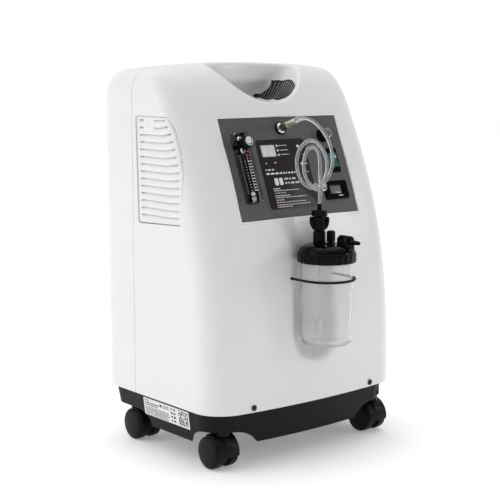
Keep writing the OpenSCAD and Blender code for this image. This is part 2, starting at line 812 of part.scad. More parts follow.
module cooling_coil() color([0.72, 0.45, 0.30]) placed() translate([0, fan_y, 276])
    for (i = [-2 : 2]) translate([0, i * coil_pitch, 0]) {
        rotate([0, 90, 0]) cylinder(r = coil_r, h = 100, center = true, $fn = 32);
        if (i < 2) translate([i % 2 == 0 ? 50 : -50, coil_pitch / 2, 0])
            rotate([0, 0, i % 2 == 0 ? -90 : 90]) rotate_extrude(angle = 180)
                translate([coil_pitch / 2, 0]) circle(coil_r, $fn = 32);
    }

bed_y = 92;
bed_low = 296;

module canister(x, y, r, h) translate([x, y, bed_low]) {
    cylinder(r = r, h = h);
    translate([0, 0, h]) cylinder(r = r + 2, h = 10);
    translate([0, 0, h + 10]) cylinder(r = 6, h = 8);
}

module sieve_beds() color(steel) placed() for (x = [-80, 80]) canister(x, bed_y, 34, 200);

module product_tank() color([0.75, 0.76, 0.78]) placed() canister(0, bed_y, 32, 190);

module valve_block() color([0.5, 0.5, 0.53]) placed() translate([0, bed_y, 0]) {
    translate([-120, -30, 255]) cube([240, 60, bed_low - 255.02]);
    for (x = [-90, -30, 30, 90]) translate([x, 0, 239]) cylinder(r = 13, h = 16.1);
}

module control_board() color([0.05, 0.30, 0.16]) placed() {
    on_panel(0, 86, -38) translate([-95, -60, 0]) cube([190, 120, 1.6]);
    for (at = [[-60, 60, 18], [-20, 110, 12], [40, 60, 14]])
        on_panel(at[0], at[1], -36.4) cylinder(r = at[2] / 2, h = 11);
}

module run_capacitor() color(steel) placed()
    translate([-140, 0, deck_top + 0.02]) cylinder(r = 22, h = 90);

module intake_silencer() color([0.15, 0.15, 0.16]) placed() translate([145, 20, 260]) {
    cylinder(r = 28, h = 130);
    translate([0, 0, 130]) cylinder(r = 8, h = 20);
}

module exhaust_muffler() color([0.15, 0.15, 0.16]) placed() translate([-145, 20, 260]) {
    cylinder(r = 26, h = 100);
    translate([0, 0, 100]) cylinder(r = 8, h = 20);
}

// === Casters ===

// Puts children at a caster, with the swivel's axis over its middle.
module at_caster(side, y) translate([side * caster_x, y, 0]) children();

hood_r = wheel_r + 3;

module caster_body() {
    translate([0, -caster_trail, 0]) {
        translate([0, 0, 2 * wheel_r + 0.8]) cylinder(r = 10, h = deck_z - 3.1 - 2 * wheel_r);
        translate([0, 0, wheel_r]) cylinder(r = stem_r, h = deck_z + 16 - wheel_r);
    }
    translate([0, 0, wheel_r]) rotate([0, 90, 0]) {
        cylinder(r = axle_r, h = 2 * wheel_w + wheel_gap - 2, center = true, $fn = 32);
        difference() {
            cylinder(r = wheel_r - 4, h = wheel_gap - 1, center = true);
            translate([wheel_r - 8, -50, -20]) cube([50, 100, 40]);
        }
    }
    difference() {
        translate([0, 0, wheel_r]) rotate([0, 90, 0]) difference() {
            cylinder(r = hood_r, h = 2 * wheel_w + wheel_gap - 8, center = true);
            difference() {
                cylinder(r = wheel_r + 0.8, h = 80, center = true);
                cylinder(r = 50, h = wheel_gap - 1, center = true);
            }
        }
        translate([-50, -50, -60]) cube([100, 100, 60 + wheel_r - 4]);
        translate([-50, 6, -60]) cube([100, 100, 200]);
    }
}

// Domed wheel on the outer or inner side of a caster.
module caster_wheel(out) translate([out * wheel_gap / 2, 0, wheel_r]) rotate([0, out * 90, 0])
    difference() {
        rotate_extrude() polygon([[0, 0], [wheel_r - 1, 0], [wheel_r, 1.2], [wheel_r, wheel_w - 5],
            [wheel_r - 2, wheel_w - 3], [wheel_r - 3, wheel_w - 2], [wheel_r - 9, wheel_w - 0.6],
            [0, wheel_w]]);
        translate([0, 0, -1]) cylinder(r = axle_r + 0.05, h = wheel_w, $fn = 32);
    }

module caster_front_left() color(black) placed() at_caster(-1, caster_front_y) caster_body();
module wheel_front_left_outer() color(black) placed() at_caster(-1, caster_front_y) caster_wheel(-1);
module wheel_front_left_inner() color(black) placed() at_caster(-1, caster_front_y) caster_wheel(1);
module caster_front_right() color(black) placed() at_caster(1, caster_front_y) caster_body();
module wheel_front_right_outer() color(black) placed() at_caster(1, caster_front_y) caster_wheel(1);
module wheel_front_right_inner() color(black) placed() at_caster(1, caster_front_y) caster_wheel(-1);
module caster_rear_left() color(black) placed() at_caster(-1, caster_rear_y) caster_body();
module wheel_rear_left_outer() color(black) placed() at_caster(-1, caster_rear_y) caster_wheel(-1);
module wheel_rear_left_inner() color(black) placed() at_caster(-1, caster_rear_y) caster_wheel(1);
module caster_rear_right() color(black) placed() at_caster(1, caster_rear_y) caster_body();
module wheel_rear_right_outer() color(black) placed() at_caster(1, caster_rear_y) caster_wheel(1);
module wheel_rear_right_inner() color(black) placed() at_caster(1, caster_rear_y) caster_wheel(-1);

front_shell();
rear_shell();
base();
side_vent_left();
side_vent_right();
intake_louvre_left();
intake_louvre_right();
control_panel();
panel_label();
status_window();
hour_meter();
switch_bezel();
power_rocker();
flowmeter_body();
flowmeter_float();
flow_knob();
oxygen_outlet();
nebuliser_outlet();
nebuliser_cap();
oxygen_tube();
tube_clip();
bottle_strap();
humidifier_lid();
humidifier_jar();
humidifier_inlet();
inlet_wing_nut();
relief_valve();
outlet_elbow();
nameplate();
shell_screws();
filter_cover();
filter_foam();
power_inlet();
breaker_button();
compressor_housing();
compressor_heads();
compressor_shaft();
compressor_mounts();
fan_frame();
fan_rotor();
cooling_coil();
sieve_beds();
product_tank();
valve_block();
control_board();
run_capacitor();
intake_silencer();
exhaust_muffler();
caster_front_left();
wheel_front_left_outer();
wheel_front_left_inner();
caster_front_right();
wheel_front_right_outer();
wheel_front_right_inner();
caster_rear_left();
wheel_rear_left_outer();
wheel_rear_left_inner();
caster_rear_right();
wheel_rear_right_outer();
wheel_rear_right_inner();
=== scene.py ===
import math

import bmesh
import bpy
import numpy as np
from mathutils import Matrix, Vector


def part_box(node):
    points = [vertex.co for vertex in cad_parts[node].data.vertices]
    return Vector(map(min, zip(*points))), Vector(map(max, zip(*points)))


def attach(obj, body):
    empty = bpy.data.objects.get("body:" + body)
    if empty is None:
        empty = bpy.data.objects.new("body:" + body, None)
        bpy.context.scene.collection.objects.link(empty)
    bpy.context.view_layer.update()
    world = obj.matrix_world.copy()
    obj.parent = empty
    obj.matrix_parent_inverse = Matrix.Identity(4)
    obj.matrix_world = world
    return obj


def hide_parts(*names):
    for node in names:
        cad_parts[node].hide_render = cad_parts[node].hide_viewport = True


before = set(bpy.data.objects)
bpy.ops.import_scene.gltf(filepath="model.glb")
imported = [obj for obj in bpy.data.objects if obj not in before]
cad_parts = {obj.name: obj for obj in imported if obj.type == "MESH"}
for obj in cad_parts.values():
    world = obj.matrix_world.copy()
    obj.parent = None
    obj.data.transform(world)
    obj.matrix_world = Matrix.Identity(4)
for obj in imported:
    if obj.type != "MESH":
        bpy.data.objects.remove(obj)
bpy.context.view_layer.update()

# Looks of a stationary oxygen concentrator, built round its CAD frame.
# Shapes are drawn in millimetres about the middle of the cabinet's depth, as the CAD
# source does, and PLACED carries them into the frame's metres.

import openvdb
from mathutils import Matrix, Vector

MM = 0.001
SHELL_BACK = 146
FRAME_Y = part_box("rear_shell")[1].y - SHELL_BACK * MM
HERE = Matrix.Identity(4)
# Turns a shape drawn in (x, y) with z as its depth so that it looks along the x axis.
ALONG_X = Matrix(((0, 0, 1, 0), (1, 0, 0, 0), (0, 1, 0, 0), (0, 0, 0, 1)))


def move(x, y, z):
    return Matrix.Translation((x, y, z))


def spin(degrees, axis):
    return Matrix.Rotation(math.radians(degrees), 4, axis)


PLACED = move(0, FRAME_Y, 0) @ Matrix.Scale(MM, 4)


# === Camera and the free tube ===

def make_camera():
    data = bpy.data.cameras.new("camera")
    data.lens, data.sensor_width = 89.2, 36
    data.clip_start, data.clip_end = 0.05, 50
    camera = bpy.data.objects.new("camera", data)
    forward = Vector((0.6286, 0.7636, -0.1471))
    camera.location = (-1.2544, -1.4797, 0.5937)
    camera.rotation_euler = forward.to_track_quat("-Z", "Y").to_euler()
    bpy.context.scene.collection.objects.link(camera)
    bpy.context.scene.camera = camera


TUBE_R = 2.6
TUBE_WAY = Vector((0, -0.9304, 0.3665))
TUBE_ROUTE = [
    (-1.5, -105, 511), (-1.5, -113, 514), (1, -120.5, 515.5), (8, -126, 514),
    (17, -130, 508.5), (26, -133, 500), (34, -136, 489), (40, -139, 475), (42, -142, 460),
    (39.5, -145, 445), (32, -148, 432), (21, -150, 421), (8, -151, 414), (-6, -152, 412),
    (-19, -153, 416), (-30, -154, 424), (-38, -155, 435), (-42, -156, 447), (-42, -156, 460),
    (-36, -156, 473), (-25, -156, 482), (-12, -156, 484), (1, -156, 478), (12, -156, 466),
    (18, -156, 451), (17, -157, 436), (10, -157.5, 423), (0, -158, 415), (-12, -159, 415),
    (-24, -161, 423), (-32, -162, 435), (-35, -163, 448), (-34, -164, 461),
    (-28, -164.5, 472), (-18, -165, 475), (-9.5, -165, 469), (-5.5, -165, 458),
    (-4.5, -165, 445), (-4.5, -165.5, 432), (-4, -166, 420), (-2, -164, 408), (0, -161, 398),
    (0, -160, 389)]
TUBE_EXIT = TUBE_ROUTE[0]


def through(points, steps=5):
    """A smooth line through the points."""
    p = [Vector(q) for q in points]
    p = [2 * p[0] - p[1], *p, 2 * p[-1] - p[-2]]
    line = []
    for a, b, c, d in zip(p, p[1:], p[2:], p[3:]):
        for k in range(steps):
            u = k / steps
            line.append(0.5 * (2 * b + (c - a) * u + (2 * a - 5 * b + 4 * c - d) * u * u
                + (3 * b - a - 3 * c + d) * u ** 3))
    return line + [p[-2]]


def circle(r, n, z=0.0):
    """Points of a circle about the z axis; a radius of nothing gives its middle alone."""
    if r < 1e-6:
        return [Vector((0, 0, z))]
    return [Vector((r * math.cos(2 * math.pi * k / n), r * math.sin(2 * math.pi * k / n), z))
        for k in range(n)]


def rounded(w, h, r, z=0.0, steps=6):
    """Points of a rectangle with round corners about the z axis."""
    r = max(min(r, w / 2 - 0.01, h / 2 - 0.01), 0.01)
    points = []
    for x, y, turn in ((1, 1, 0), (-1, 1, 90), (-1, -1, 180), (1, -1, 270)):
        for k in range(steps + 1):
            a = math.radians(turn + 90 * k / steps)
            points.append(Vector((x * (w / 2 - r) + r * math.cos(a),
                y * (h / 2 - r) + r * math.sin(a), z)))
    return points


class Shape:
    """The parts of one piece, in millimetres. Each part may have a material of its own."""

    def __init__(self):
        self.verts, self.faces, self.fills = [], [], []

    def mesh(self, verts, faces, at=HERE, fill=0):
        start = len(self.verts)
        self.verts += [at @ Vector(v) for v in verts]
        self.faces += [tuple(start + i for i in f) for f in faces]
        self.fills += [fill] * len(faces)

    def skin(self, rings, at=HERE, fill=0, loop=False):
        """Joins rings of points, one after another. A ring of one point is a tip."""
        verts = [p for ring in rings for p in ring]
        starts = np.cumsum([0] + [len(r) for r in rings]).tolist()
        faces = []
        pairs = list(zip(range(len(rings)), range(1, len(rings))))
        if loop:
            pairs.append((len(rings) - 1, 0))
        for i, j in pairs:
            a, b, na, nb = starts[i], starts[j], len(rings[i]), len(rings[j])
            n = max(na, nb)
            for k in range(n):
                m = (k + 1) % n
                if na == 1 and nb == 1:
                    continue
                if na == 1:
                    faces.append((a, b + k, b + m))
                elif nb == 1:
                    faces.append((a + k, b, a + m))
                else:
                    faces.append((a + k, b + k, b + m, a + m))
        if not loop:
            for i in (0, len(rings) - 1):
                if len(rings[i]) > 2:
                    faces.append(tuple(starts[i] + k for k in range(len(rings[i]))))
        self.mesh(verts, faces, at, fill)

    def turn(self, profile, at=HERE, fill=0, n=48):
        """A profile of (radius, height) turned about the z axis."""
        self.skin([circle(r, n, z) for r, z in profile], at, fill)

    def slab(self, w, h, low, high, r, bevel=0.3, at=HERE, fill=0, steps=6):
        """A plate with round corners and rounded edges."""
        levels = []
        for k in range(4):
            t = math.radians(30 * k)
            levels.append((bevel * (1 - math.sin(t)), bevel * (1 - math.cos(t))))
        rings = [rounded(w - 2 * i, h - 2 * i, r - i, low + z, steps) for i, z in levels]
        rings += [rounded(w - 2 * i, h - 2 * i, r - i, high - z, steps)
            for i, z in reversed(levels)]
        self.skin(rings, at, fill)

    def frame(self, outer, inner, low, high, r, r_in, bevel=0.4, at=HERE, fill=0):
        """A flat ring between two rounded rectangles, each (width, height)."""
        sizes = [(outer, r, 0, low), (outer, r, 0, high - bevel), (outer, r, bevel, high),
            (inner, r_in, -bevel, high), (inner, r_in, 0, high - bevel), (inner, r_in, 0, low)]
        self.skin([rounded(s[0] - 2 * i, s[1] - 2 * i, c - i, z) for s, c, i, z in sizes],
            at, fill, loop=True)

    def sweep(self, path, radius, at=HERE, n=12):
        """A round bar along a path; radius may be one number or one for each point."""
        path = [Vector(p) for p in path]
        radii = radius if isinstance(radius, (list, tuple)) else [radius] * len(path)
        side = None
        rings = []
        for i, p in enumerate(path):
            way = (path[min(i + 1, len(path) - 1)] - path[max(i - 1, 0)]).normalized()
            if side is None:
                side = way.orthogonal()
            side = (side - way * side.dot(way)).normalized()
            other = way.cross(side)
            rings.append([p + radii[i] * (math.cos(2 * math.pi * k / n) * side
                + math.sin(2 * math.pi * k / n) * other) for k in range(n)])
        self.skin(rings, at)

    def prism(self, outline, low, high, at=HERE):
        """An outline of (x, y) points drawn out along z."""
        self.skin([[Vector((x, y, z)) for x, y in outline] for z in (low, high)], at)

    def drawn_in(self, outline, middle, levels, at=HERE):
        """An outline drawn out along z and made smaller about a middle height near its ends."""
        self.skin([[Vector((x * share, middle + (y - middle) * share, z)) for x, y in outline]
            for z, share in levels], at)

    def build(self, name, materials, sharp=35, place=PLACED):
        """Makes the object. Edges sharper than so many degrees stay sharp."""
        mesh = bpy.data.meshes.new(name)
        mesh.from_pydata([place @ v for v in self.verts], [], self.faces)
        for m in materials:
            mesh.materials.append(m)
        mesh.polygons.foreach_set("material_index", self.fills)
        bm = bmesh.new()
        bm.from_mesh(mesh)
        bmesh.ops.recalc_face_normals(bm, faces=bm.faces)
        bm.to_mesh(mesh)
        bm.free()
        mesh.shade_smooth()
        mesh.set_sharp_from_angle(angle=math.radians(sharp))
        made = bpy.data.objects.new(name, mesh)
        bpy.context.scene.collection.objects.link(made)
        return made


def piece(shape, name, body, materials, replaces=(), sharp=35):
    """Builds a shape and says what it rides on, stands for and is finished in."""
    made = shape.build(name, materials, sharp)
    settle(made, body, replaces)
    return made


def settle(made, body, replaces=()):
    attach(made, body)
    if replaces:
        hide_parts(*replaces)


# === Materials ===

def new_material(name):
    material = bpy.data.materials.new(name)
    material.use_nodes = True
    nodes = material.node_tree.nodes
    return material, nodes, material.node_tree.links, nodes["Principled BSDF"]


def noise(nodes, links, size, detail=4.0, stretch=(1, 1, 1)):
    """Noise in the object's own space, whose features are about size metres wide."""
    coords = nodes.new("ShaderNodeTexCoord")
    mapping = nodes.new("ShaderNodeMapping")
    mapping.inputs["Scale"].default_value = stretch
    texture = nodes.new("ShaderNodeTexNoise")
    texture.inputs["Scale"].default_value = 1 / size
    texture.inputs["Detail"].default_value = detail
    links.new(coords.outputs["Object"], mapping.inputs["Vector"])
    links.new(mapping.outputs["Vector"], texture.inputs["Vector"])
    return texture.outputs["Fac"]


def spread(nodes, links, source, low, high, source_low=0.3, source_high=0.7):
    """Stretches a range of a value, as a rule the middle of a noise, over another."""
    node = nodes.new("ShaderNodeMapRange")
    ranges = {"From Min": source_low, "From Max": source_high, "To Min": low, "To Max": high}
    for socket, value in ranges.items():
        node.inputs[socket].default_value = value
    links.new(source, node.inputs["Value"])
    return node.outputs["Result"]


def surface(name, color, rough, grain=0.0006, depth=0.00002, tint=0.05, metal=0.0,
        rough_spread=0.06, patch=0.03, stretch=(1, 1, 1), **sockets):
    """A moulded, painted or metal surface: its colour and gloss vary softly over patches,
    and a fine grain of the given depth, both in metres, lies in its bump."""
    material, nodes, links, shader = new_material(name)
    patches = noise(nodes, links, patch, 3.0, stretch)
    ramp = nodes.new("ShaderNodeValToRGB")
    ramp.color_ramp.elements[0].position = 0.3
    ramp.color_ramp.elements[1].position = 0.7
    for element, share in zip(ramp.color_ramp.elements, (1 - tint, 1 + tint)):
        element.color = [min(c * share, 1) for c in color] + [1]
    links.new(patches, ramp.inputs["Fac"])
    links.new(ramp.outputs["Color"], shader.inputs["Base Color"])
    fine = noise(nodes, links, grain, 5.0, stretch)
    links.new(spread(nodes, links, patches, rough - rough_spread, rough + rough_spread),
        shader.inputs["Roughness"])
    bump = nodes.new("ShaderNodeBump")
    bump.inputs["Distance"].default_value = depth
    links.new(fine, bump.inputs["Height"])
    links.new(bump.outputs["Normal"], shader.inputs["Normal"])
    shader.inputs["Metallic"].default_value = metal
    for socket, value in sockets.items():
        shader.inputs[socket.replace("_", " ")].default_value = value
    return material


def clear(name, color, rough, transmission, ior=1.47, depth=0.000004, **sockets):
    """Clear or frosted plastic."""
    return surface(name, color, rough, grain=0.003, depth=depth, tint=0.03,
        rough_spread=0.02, Transmission_Weight=transmission, IOR=ior, **sockets)


WHITE = surface("shell_white_abs", (0.80, 0.805, 0.81), 0.34, grain=0.0009, depth=0.000012,
    tint=0.012, patch=0.12, Coat_Weight=0.15, Coat_Roughness=0.25)
BLACK_BASE = surface("base_black_abs", (0.0048, 0.0049, 0.0052), 0.42, grain=0.0008,
    depth=0.00004, tint=0.15, Specular_IOR_Level=0.14)
PANEL = surface("panel_grey_textured", (0.092, 0.092, 0.096), 0.42, grain=0.0007,
    depth=0.00005, tint=0.05, patch=0.06, Specular_IOR_Level=0.3)
LABEL = surface("label_dark_film", (0.0150, 0.0098, 0.0102), 0.36, grain=0.0004,
    depth=0.000006, tint=0.1, Specular_IOR_Level=0.25)
# White ink of the print; also the painted highlight down the flowmeter's bore.
PRINT_AND_HIGHLIGHT = surface("print_white_ink_and_painted_highlight", (0.78, 0.77, 0.76), 0.45, grain=0.0003,
    depth=0.000004, tint=0.03)
RED_INK = surface("print_red_ink", (0.38, 0.06, 0.035), 0.45, grain=0.0003,
    depth=0.000004, tint=0.05)
WINDOW = surface("window_pale_film", (0.66, 0.67, 0.69), 0.25, grain=0.0006,
    depth=0.000004, tint=0.04, patch=0.008)
LCD = surface("lcd_grey_film", (0.13, 0.135, 0.13), 0.22, grain=0.0008, depth=0.000003,
    tint=0.06, patch=0.006)
# Black of the gloss fittings; also the painted shade crescent on the knob's face and the painted
# shade rim round the flowmeter.
BLACK_GLOSS_AND_SHADE = surface("fitting_black_gloss_and_painted_shade", (0.0022, 0.0022, 0.0024), 0.13, grain=0.0012,
    depth=0.000012, tint=0.2, rough_spread=0.03, Specular_IOR_Level=0.08)
SATIN = surface("fitting_black_satin", (0.005, 0.005, 0.0054), 0.34, grain=0.0006,
    depth=0.00003, tint=0.15, Specular_IOR_Level=0.16)
# Light grey of the louvre ribs' top edges: a painted highlight.
LOUVRE_HIGHLIGHT = surface("louvre_rib_painted_highlight", (0.36, 0.36, 0.365), 0.4, grain=0.0007,
    depth=0.00002, tint=0.06)
# Near-black of the louvres' backs; also the painted shade in the screws' cross recesses and in the
# vent bosses' holes.
DARK_BACK_AND_SHADE = surface("louvre_dark_back_and_painted_shade", (0.012, 0.012, 0.013), 0.6, grain=0.0007,
    depth=0.00002, tint=0.1)
TEAL = surface("rocker_teal_clear", (0.005, 0.115, 0.105), 0.16, grain=0.002,
    depth=0.000004, tint=0.12, patch=0.01, Transmission_Weight=0.25, IOR=1.5)
ACRYLIC = clear("flowmeter_acrylic", (0.90, 0.92, 0.93), 0.04, 1.0, 1.12)
CAP = clear("cap_clear_moulded", (0.90, 0.92, 0.93), 0.08, 0.92)
TUBE = clear("tube_clear_vinyl", (0.93, 0.925, 0.94), 0.1, 0.86, 1.27)
JAR = clear("jar_frosted", (0.975, 0.98, 0.985), 0.22, 0.875, 1.1, depth=0.000001,
    Coat_Weight=0.15, Coat_Roughness=0.3)
CHROME = surface("float_chrome_steel", (0.72, 0.72, 0.74), 0.12, grain=0.0006,
    depth=0.000003, tint=0.04, metal=1.0, rough_spread=0.03)
NICKEL = surface("outlet_nickel_brass", (0.42, 0.42, 0.31), 0.24, grain=0.0009,
    depth=0.000006, tint=0.08, metal=1.0, patch=0.006)
STRAP = surface("strap_black_elastic", (0.004, 0.004, 0.004), 0.5, grain=0.0005,
    depth=0.00008, tint=0.15, Specular_IOR_Level=0.15)
STICKER = surface("nameplate_white_film", (0.80, 0.80, 0.79), 0.35, grain=0.0006,
    depth=0.000004, tint=0.02)
INK = surface("nameplate_black_ink", (0.02, 0.02, 0.022), 0.5, grain=0.0003,
    depth=0.000003, tint=0.2)
SCREW = surface("screw_black_oxide", (0.02, 0.02, 0.021), 0.3, grain=0.0005,
    depth=0.00001, tint=0.15, metal=0.6)
COVER = surface("filter_cover_pale", (0.62, 0.63, 0.63), 0.45, grain=0.0008,
    depth=0.00003, tint=0.03, patch=0.05)
FOAM = surface("filter_open_foam", (0.05, 0.05, 0.055), 0.95, grain=0.0012,
    depth=0.0006, tint=0.4, patch=0.002)
CAST = surface("cast_aluminium", (0.56, 0.57, 0.58), 0.42, grain=0.0012, depth=0.00006,
    tint=0.08, metal=1.0)
STEEL = surface("ground_steel", (0.55, 0.56, 0.57), 0.28, grain=0.0008, depth=0.00001,
    tint=0.06, metal=1.0, stretch=(0.1, 1, 1))
RUBBER = surface("mount_rubber", (0.02, 0.02, 0.02), 0.7, grain=0.0008, depth=0.00005,
    tint=0.15)
COPPER = surface("coil_copper", (0.62, 0.30, 0.18), 0.3, grain=0.001, depth=0.00001,
    tint=0.15, metal=1.0, patch=0.01)
BOARD = surface("board_green_mask", (0.015, 0.12, 0.05), 0.4, grain=0.002,
    depth=0.00002, tint=0.2, patch=0.004)
PRINT_GREY = surface("print_grey_ink", (0.60, 0.58, 0.57), 0.45, grain=0.0003,
    depth=0.000004, tint=0.04)
NYLON = surface("caster_black_nylon", (0.0058, 0.0058, 0.0062), 0.40, grain=0.0007,
    depth=0.00004, tint=0.15, Specular_IOR_Level=0.13)


# === The free tube ===

def make_tube():
    line = through(TUBE_ROUTE)
    shape = Shape()
    shape.sweep(line, TUBE_R, n=16)
    tube = piece(shape, "oxygen_feed_tube", "cabinet", [TUBE], ["oxygen_tube"])
    clip = Shape()
    clip.frame((22, 12), (18.5, 8.6), -4.5, 4.5, 5, 4, 0.4,
        move(2, -158.5, 414) @ ALONG_X)
    holder = piece(clip, "tube_tie_clip", "cabinet", [CAP], ["tube_clip"])
    sleeve = Shape()
    run = [Vector(TUBE_EXIT) - TUBE_WAY * d for d in (16, 15.6, 12, 8, 4)] + line[:12]
    sleeve.sweep(run, [3.9, 4.5, 4.6, 4.6, 4.6] + [4.6] * 6 + [4.4, 4.2, 4.1, 4.0, 3.8, 3.1], n=24)
    cuff = piece(sleeve, "tube_end_sleeve", "cabinet", [TUBE])


make_camera()
make_tube()


# === Cabinet form: a distance field in millimetres ===

HALF_W = 190
WALL = 3
TOP = 600
CROWN = 9
TOP_DROP = 8
SEAM_Y = 56
SHELL_LOW = 86
PANEL_W, PANEL_H = 237, 160
PANEL_TILT = 21.5
PANEL_Y, PANEL_Z = -123, 367
ON_PANEL = move(0, PANEL_Y, PANEL_Z) @ spin(90 - PANEL_TILT, "X")
BOTTLE_Y = -177
BOTTLE = move(0, BOTTLE_Y, 0)
PANEL_FACE = -1


def on_panel(x=0.0, up=0.0, out=0.0):
    return ON_PANEL @ move(x, up, out)


def side_profile():
    """The cabinet's outline in its middle plane, as (y, z) points."""
    z = np.linspace(20, 499, 68)
    front = np.stack([-157 + 18.4 * (np.maximum(z - 110, 0) / 210) ** 2.44, z], 1)
    lean = np.array([0.445, 0.895])
    start, end = front[-1], np.array([14.0, TOP])
    bend = [start, start + 52 * lean, end - (42, 0), end]
    t = np.linspace(0, 1, 40)[1:, None]
    brow = ((1 - t) ** 3 * bend[0] + 3 * (1 - t) ** 2 * t * bend[1]
        + 3 * (1 - t) * t * t * bend[2] + t ** 3 * bend[3])
    turn = np.radians(np.linspace(90, 0, 20))
    r = 40
    rear = np.stack([SHELL_BACK - r + r * np.cos(turn), TOP - 2 - r + r * np.sin(turn)], 1)
    return np.concatenate([front, brow, [[60, TOP - 0.4]], rear, [[SHELL_BACK, 20]]])


TABLE_Y = np.arange(-176.0, 172.0)
TABLE_Z = np.arange(10.0, 626.0)


def profile_table():
    """Distance to the side profile over a grid of one millimetre, negative inside."""
    y, z = np.meshgrid(TABLE_Y, TABLE_Z, indexing="ij")
    nearest = np.full(y.shape, 1e9)
    inside = np.zeros(y.shape, bool)
    points = side_profile()
    for a, b in zip(points, np.roll(points, -1, 0)):
        ab = b - a
        t = np.clip(((y - a[0]) * ab[0] + (z - a[1]) * ab[1]) / (ab @ ab), 0, 1)
        nearest = np.minimum(nearest, (y - a[0] - t * ab[0]) ** 2 + (z - a[1] - t * ab[1]) ** 2)
        if a[1] != b[1]:
            spans = (a[1] > z) != (b[1] > z)
            inside ^= spans & (y < a[0] + (z - a[1]) * ab[0] / ab[1])
    return np.sqrt(nearest) * np.where(inside, -1, 1)


TABLE = profile_table()


def profile_distance(y, z):
    fy = np.clip(y - TABLE_Y[0], 0, len(TABLE_Y) - 1.001)
    fz = np.clip(z - TABLE_Z[0], 0, len(TABLE_Z) - 1.001)
    i, j = fy.astype(int), fz.astype(int)
    u, v = fy - i, fz - j
    return ((TABLE[i, j] * (1 - u) + TABLE[i + 1, j] * u) * (1 - v)
        + (TABLE[i, j + 1] * (1 - u) + TABLE[i + 1, j + 1] * u) * v)


def ease(low, high, x):
    t = np.clip((x - low) / (high - low), 0, 1)
    return t * t * (3 - 2 * t)


def both(a, b, r):
    """What two fields share, with its edge rounded to a radius."""
    return np.minimum(-r, np.maximum(a, b)) + np.hypot(np.maximum(a + r, 0),
        np.maximum(b + r, 0))


def body_field(x, y, z):
    """The cabinet without its hollows."""
    crown = CROWN * np.minimum(np.abs(x) / 145, 1.15) ** 2 * (1 - ease(-20, 50, y))
    drop = TOP_DROP * np.minimum(np.abs(x) / 152, 1.1) ** 2 * ease(-60, 20, y)
    r = 30 + 6 * (1 - ease(60, 110, y)) + 9 * (1 - ease(-90, 0, y))
    sides = both(np.abs(x) - HALF_W, profile_distance(y - crown, z + drop), r)
    return np.maximum(sides, 80 - z)


BOWL_LOW, BOWL_R = 531, 90
MOUTH_R, MOUTH_BACK_R = 142, 210
CAVE_W, CAVE_BACK, CAVE_TOP = 64, 52, 566


def grip_field(x, y, z):
    """The bowl and the cave under the grip, as solid to take away; negative is solid."""
    floor = np.hypot(x, z - BOWL_LOW - BOWL_R) - BOWL_R
    mouth = both(np.hypot(x, y + 53.5 - MOUTH_R) - MOUTH_R,
        np.hypot(x, y - 36 + MOUTH_BACK_R) - MOUTH_BACK_R, 4)
    bowl = both(mouth, floor, 14)
    cave = both(both(np.abs(x) - CAVE_W, np.maximum(y - CAVE_BACK, -y), 10), z - CAVE_TOP, 10)
    return bowl, both(cave, floor, 14)


POCKET_R, POCKET_LOW = 48, 194


def case_field(x, y, z):
    """The outer form of both shells."""
    bowl, cave = grip_field(x, y, z)
    case = both(body_field(x, y, z), both(-bowl, -cave, 9), 6)
    pocket = np.sqrt(x * x + (y - BOTTLE_Y) ** 2 + np.minimum(z - POCKET_LOW, 0) ** 2) - POCKET_R
    return both(case, -pocket, 7)


def slope_of(field, p):
    """Directions in which a field grows at points p."""
    step = 0.2
    g = np.zeros_like(p)
    for k in range(3):
        d = np.zeros(3)
        d[k] = step
        g[:, k] = field(*(p + d).T) - field(*(p - d).T)
    return g / np.maximum(np.linalg.norm(g, axis=1, keepdims=True), 1e-9)


def field_surface(field, voxel, merge):
    """A field's zero surface as a shape, mirrored about x = 0."""
    x = np.arange(0, HALF_W + 3 * voxel, voxel)
    y = np.arange(-172, 156, voxel)
    z = np.arange(74, 608, voxel)
    half = field(*np.meshgrid(x, y, z, indexing="ij"))
    values = np.concatenate([half[:0:-1], half])
    grid = openvdb.FloatGrid(3 * voxel)
    grid.copyFromArray(np.clip(values, -3 * voxel, 3 * voxel).astype(np.float32))
    points, triangles, quads = grid.convertToPolygons(0.0, merge)
    points = points * voxel + np.array([-x[-1], y[0], z[0]])
    for _ in range(2):
        points -= field(*points.T)[:, None] * slope_of(field, points)
    shape = Shape()
    shape.mesh(points.tolist(), [*triangles.tolist(), *quads.tolist()])
    return shape


def cut(target, shape):
    """Takes a shape away from an object in millimetres."""
    cutter = shape.build("cutter", [], place=HERE)
    modifier = target.modifiers.new("cut", "BOOLEAN")
    modifier.operation, modifier.object, modifier.solver = "DIFFERENCE", cutter, "MANIFOLD"
    bpy.context.view_layer.update()
    whole = target.evaluated_get(bpy.context.evaluated_depsgraph_get())
    left = bpy.data.meshes.new_from_object(whole)
    target.modifiers.clear()
    old, target.data = target.data, left
    bpy.data.meshes.remove(old)
    bpy.data.objects.remove(cutter)


def box_between(low, high):
    shape = Shape()
    outline = [(low[0], low[1]), (high[0], low[1]), (high[0], high[1]), (low[0], high[1])]
    shape.prism(outline, low[2], high[2])
    return shape


VENT = [(47, 519), (-30, 519), (-45, 500), (-59, 468), (-68, 438), (-70, 400), (-69, 361),
    (42, 356)]
VENT_DEEP = 1.5


def vent_cutter(side):
    """A prism of the vent's outline through one side wall, its corners cut off."""
    outline = []
    for a, b, c in zip(np.roll(VENT, 1, 0), np.array(VENT), np.roll(VENT, -1, 0)):
        for d in (a, c):
            near = b + (d - b) / np.linalg.norm(d - b) * 3
            outline.append((near[0], near[1]))
    shape = Shape()
    low, high = sorted((side * 150, side * 200))
    shape.prism(outline, low, high, ALONG_X)
    return shape


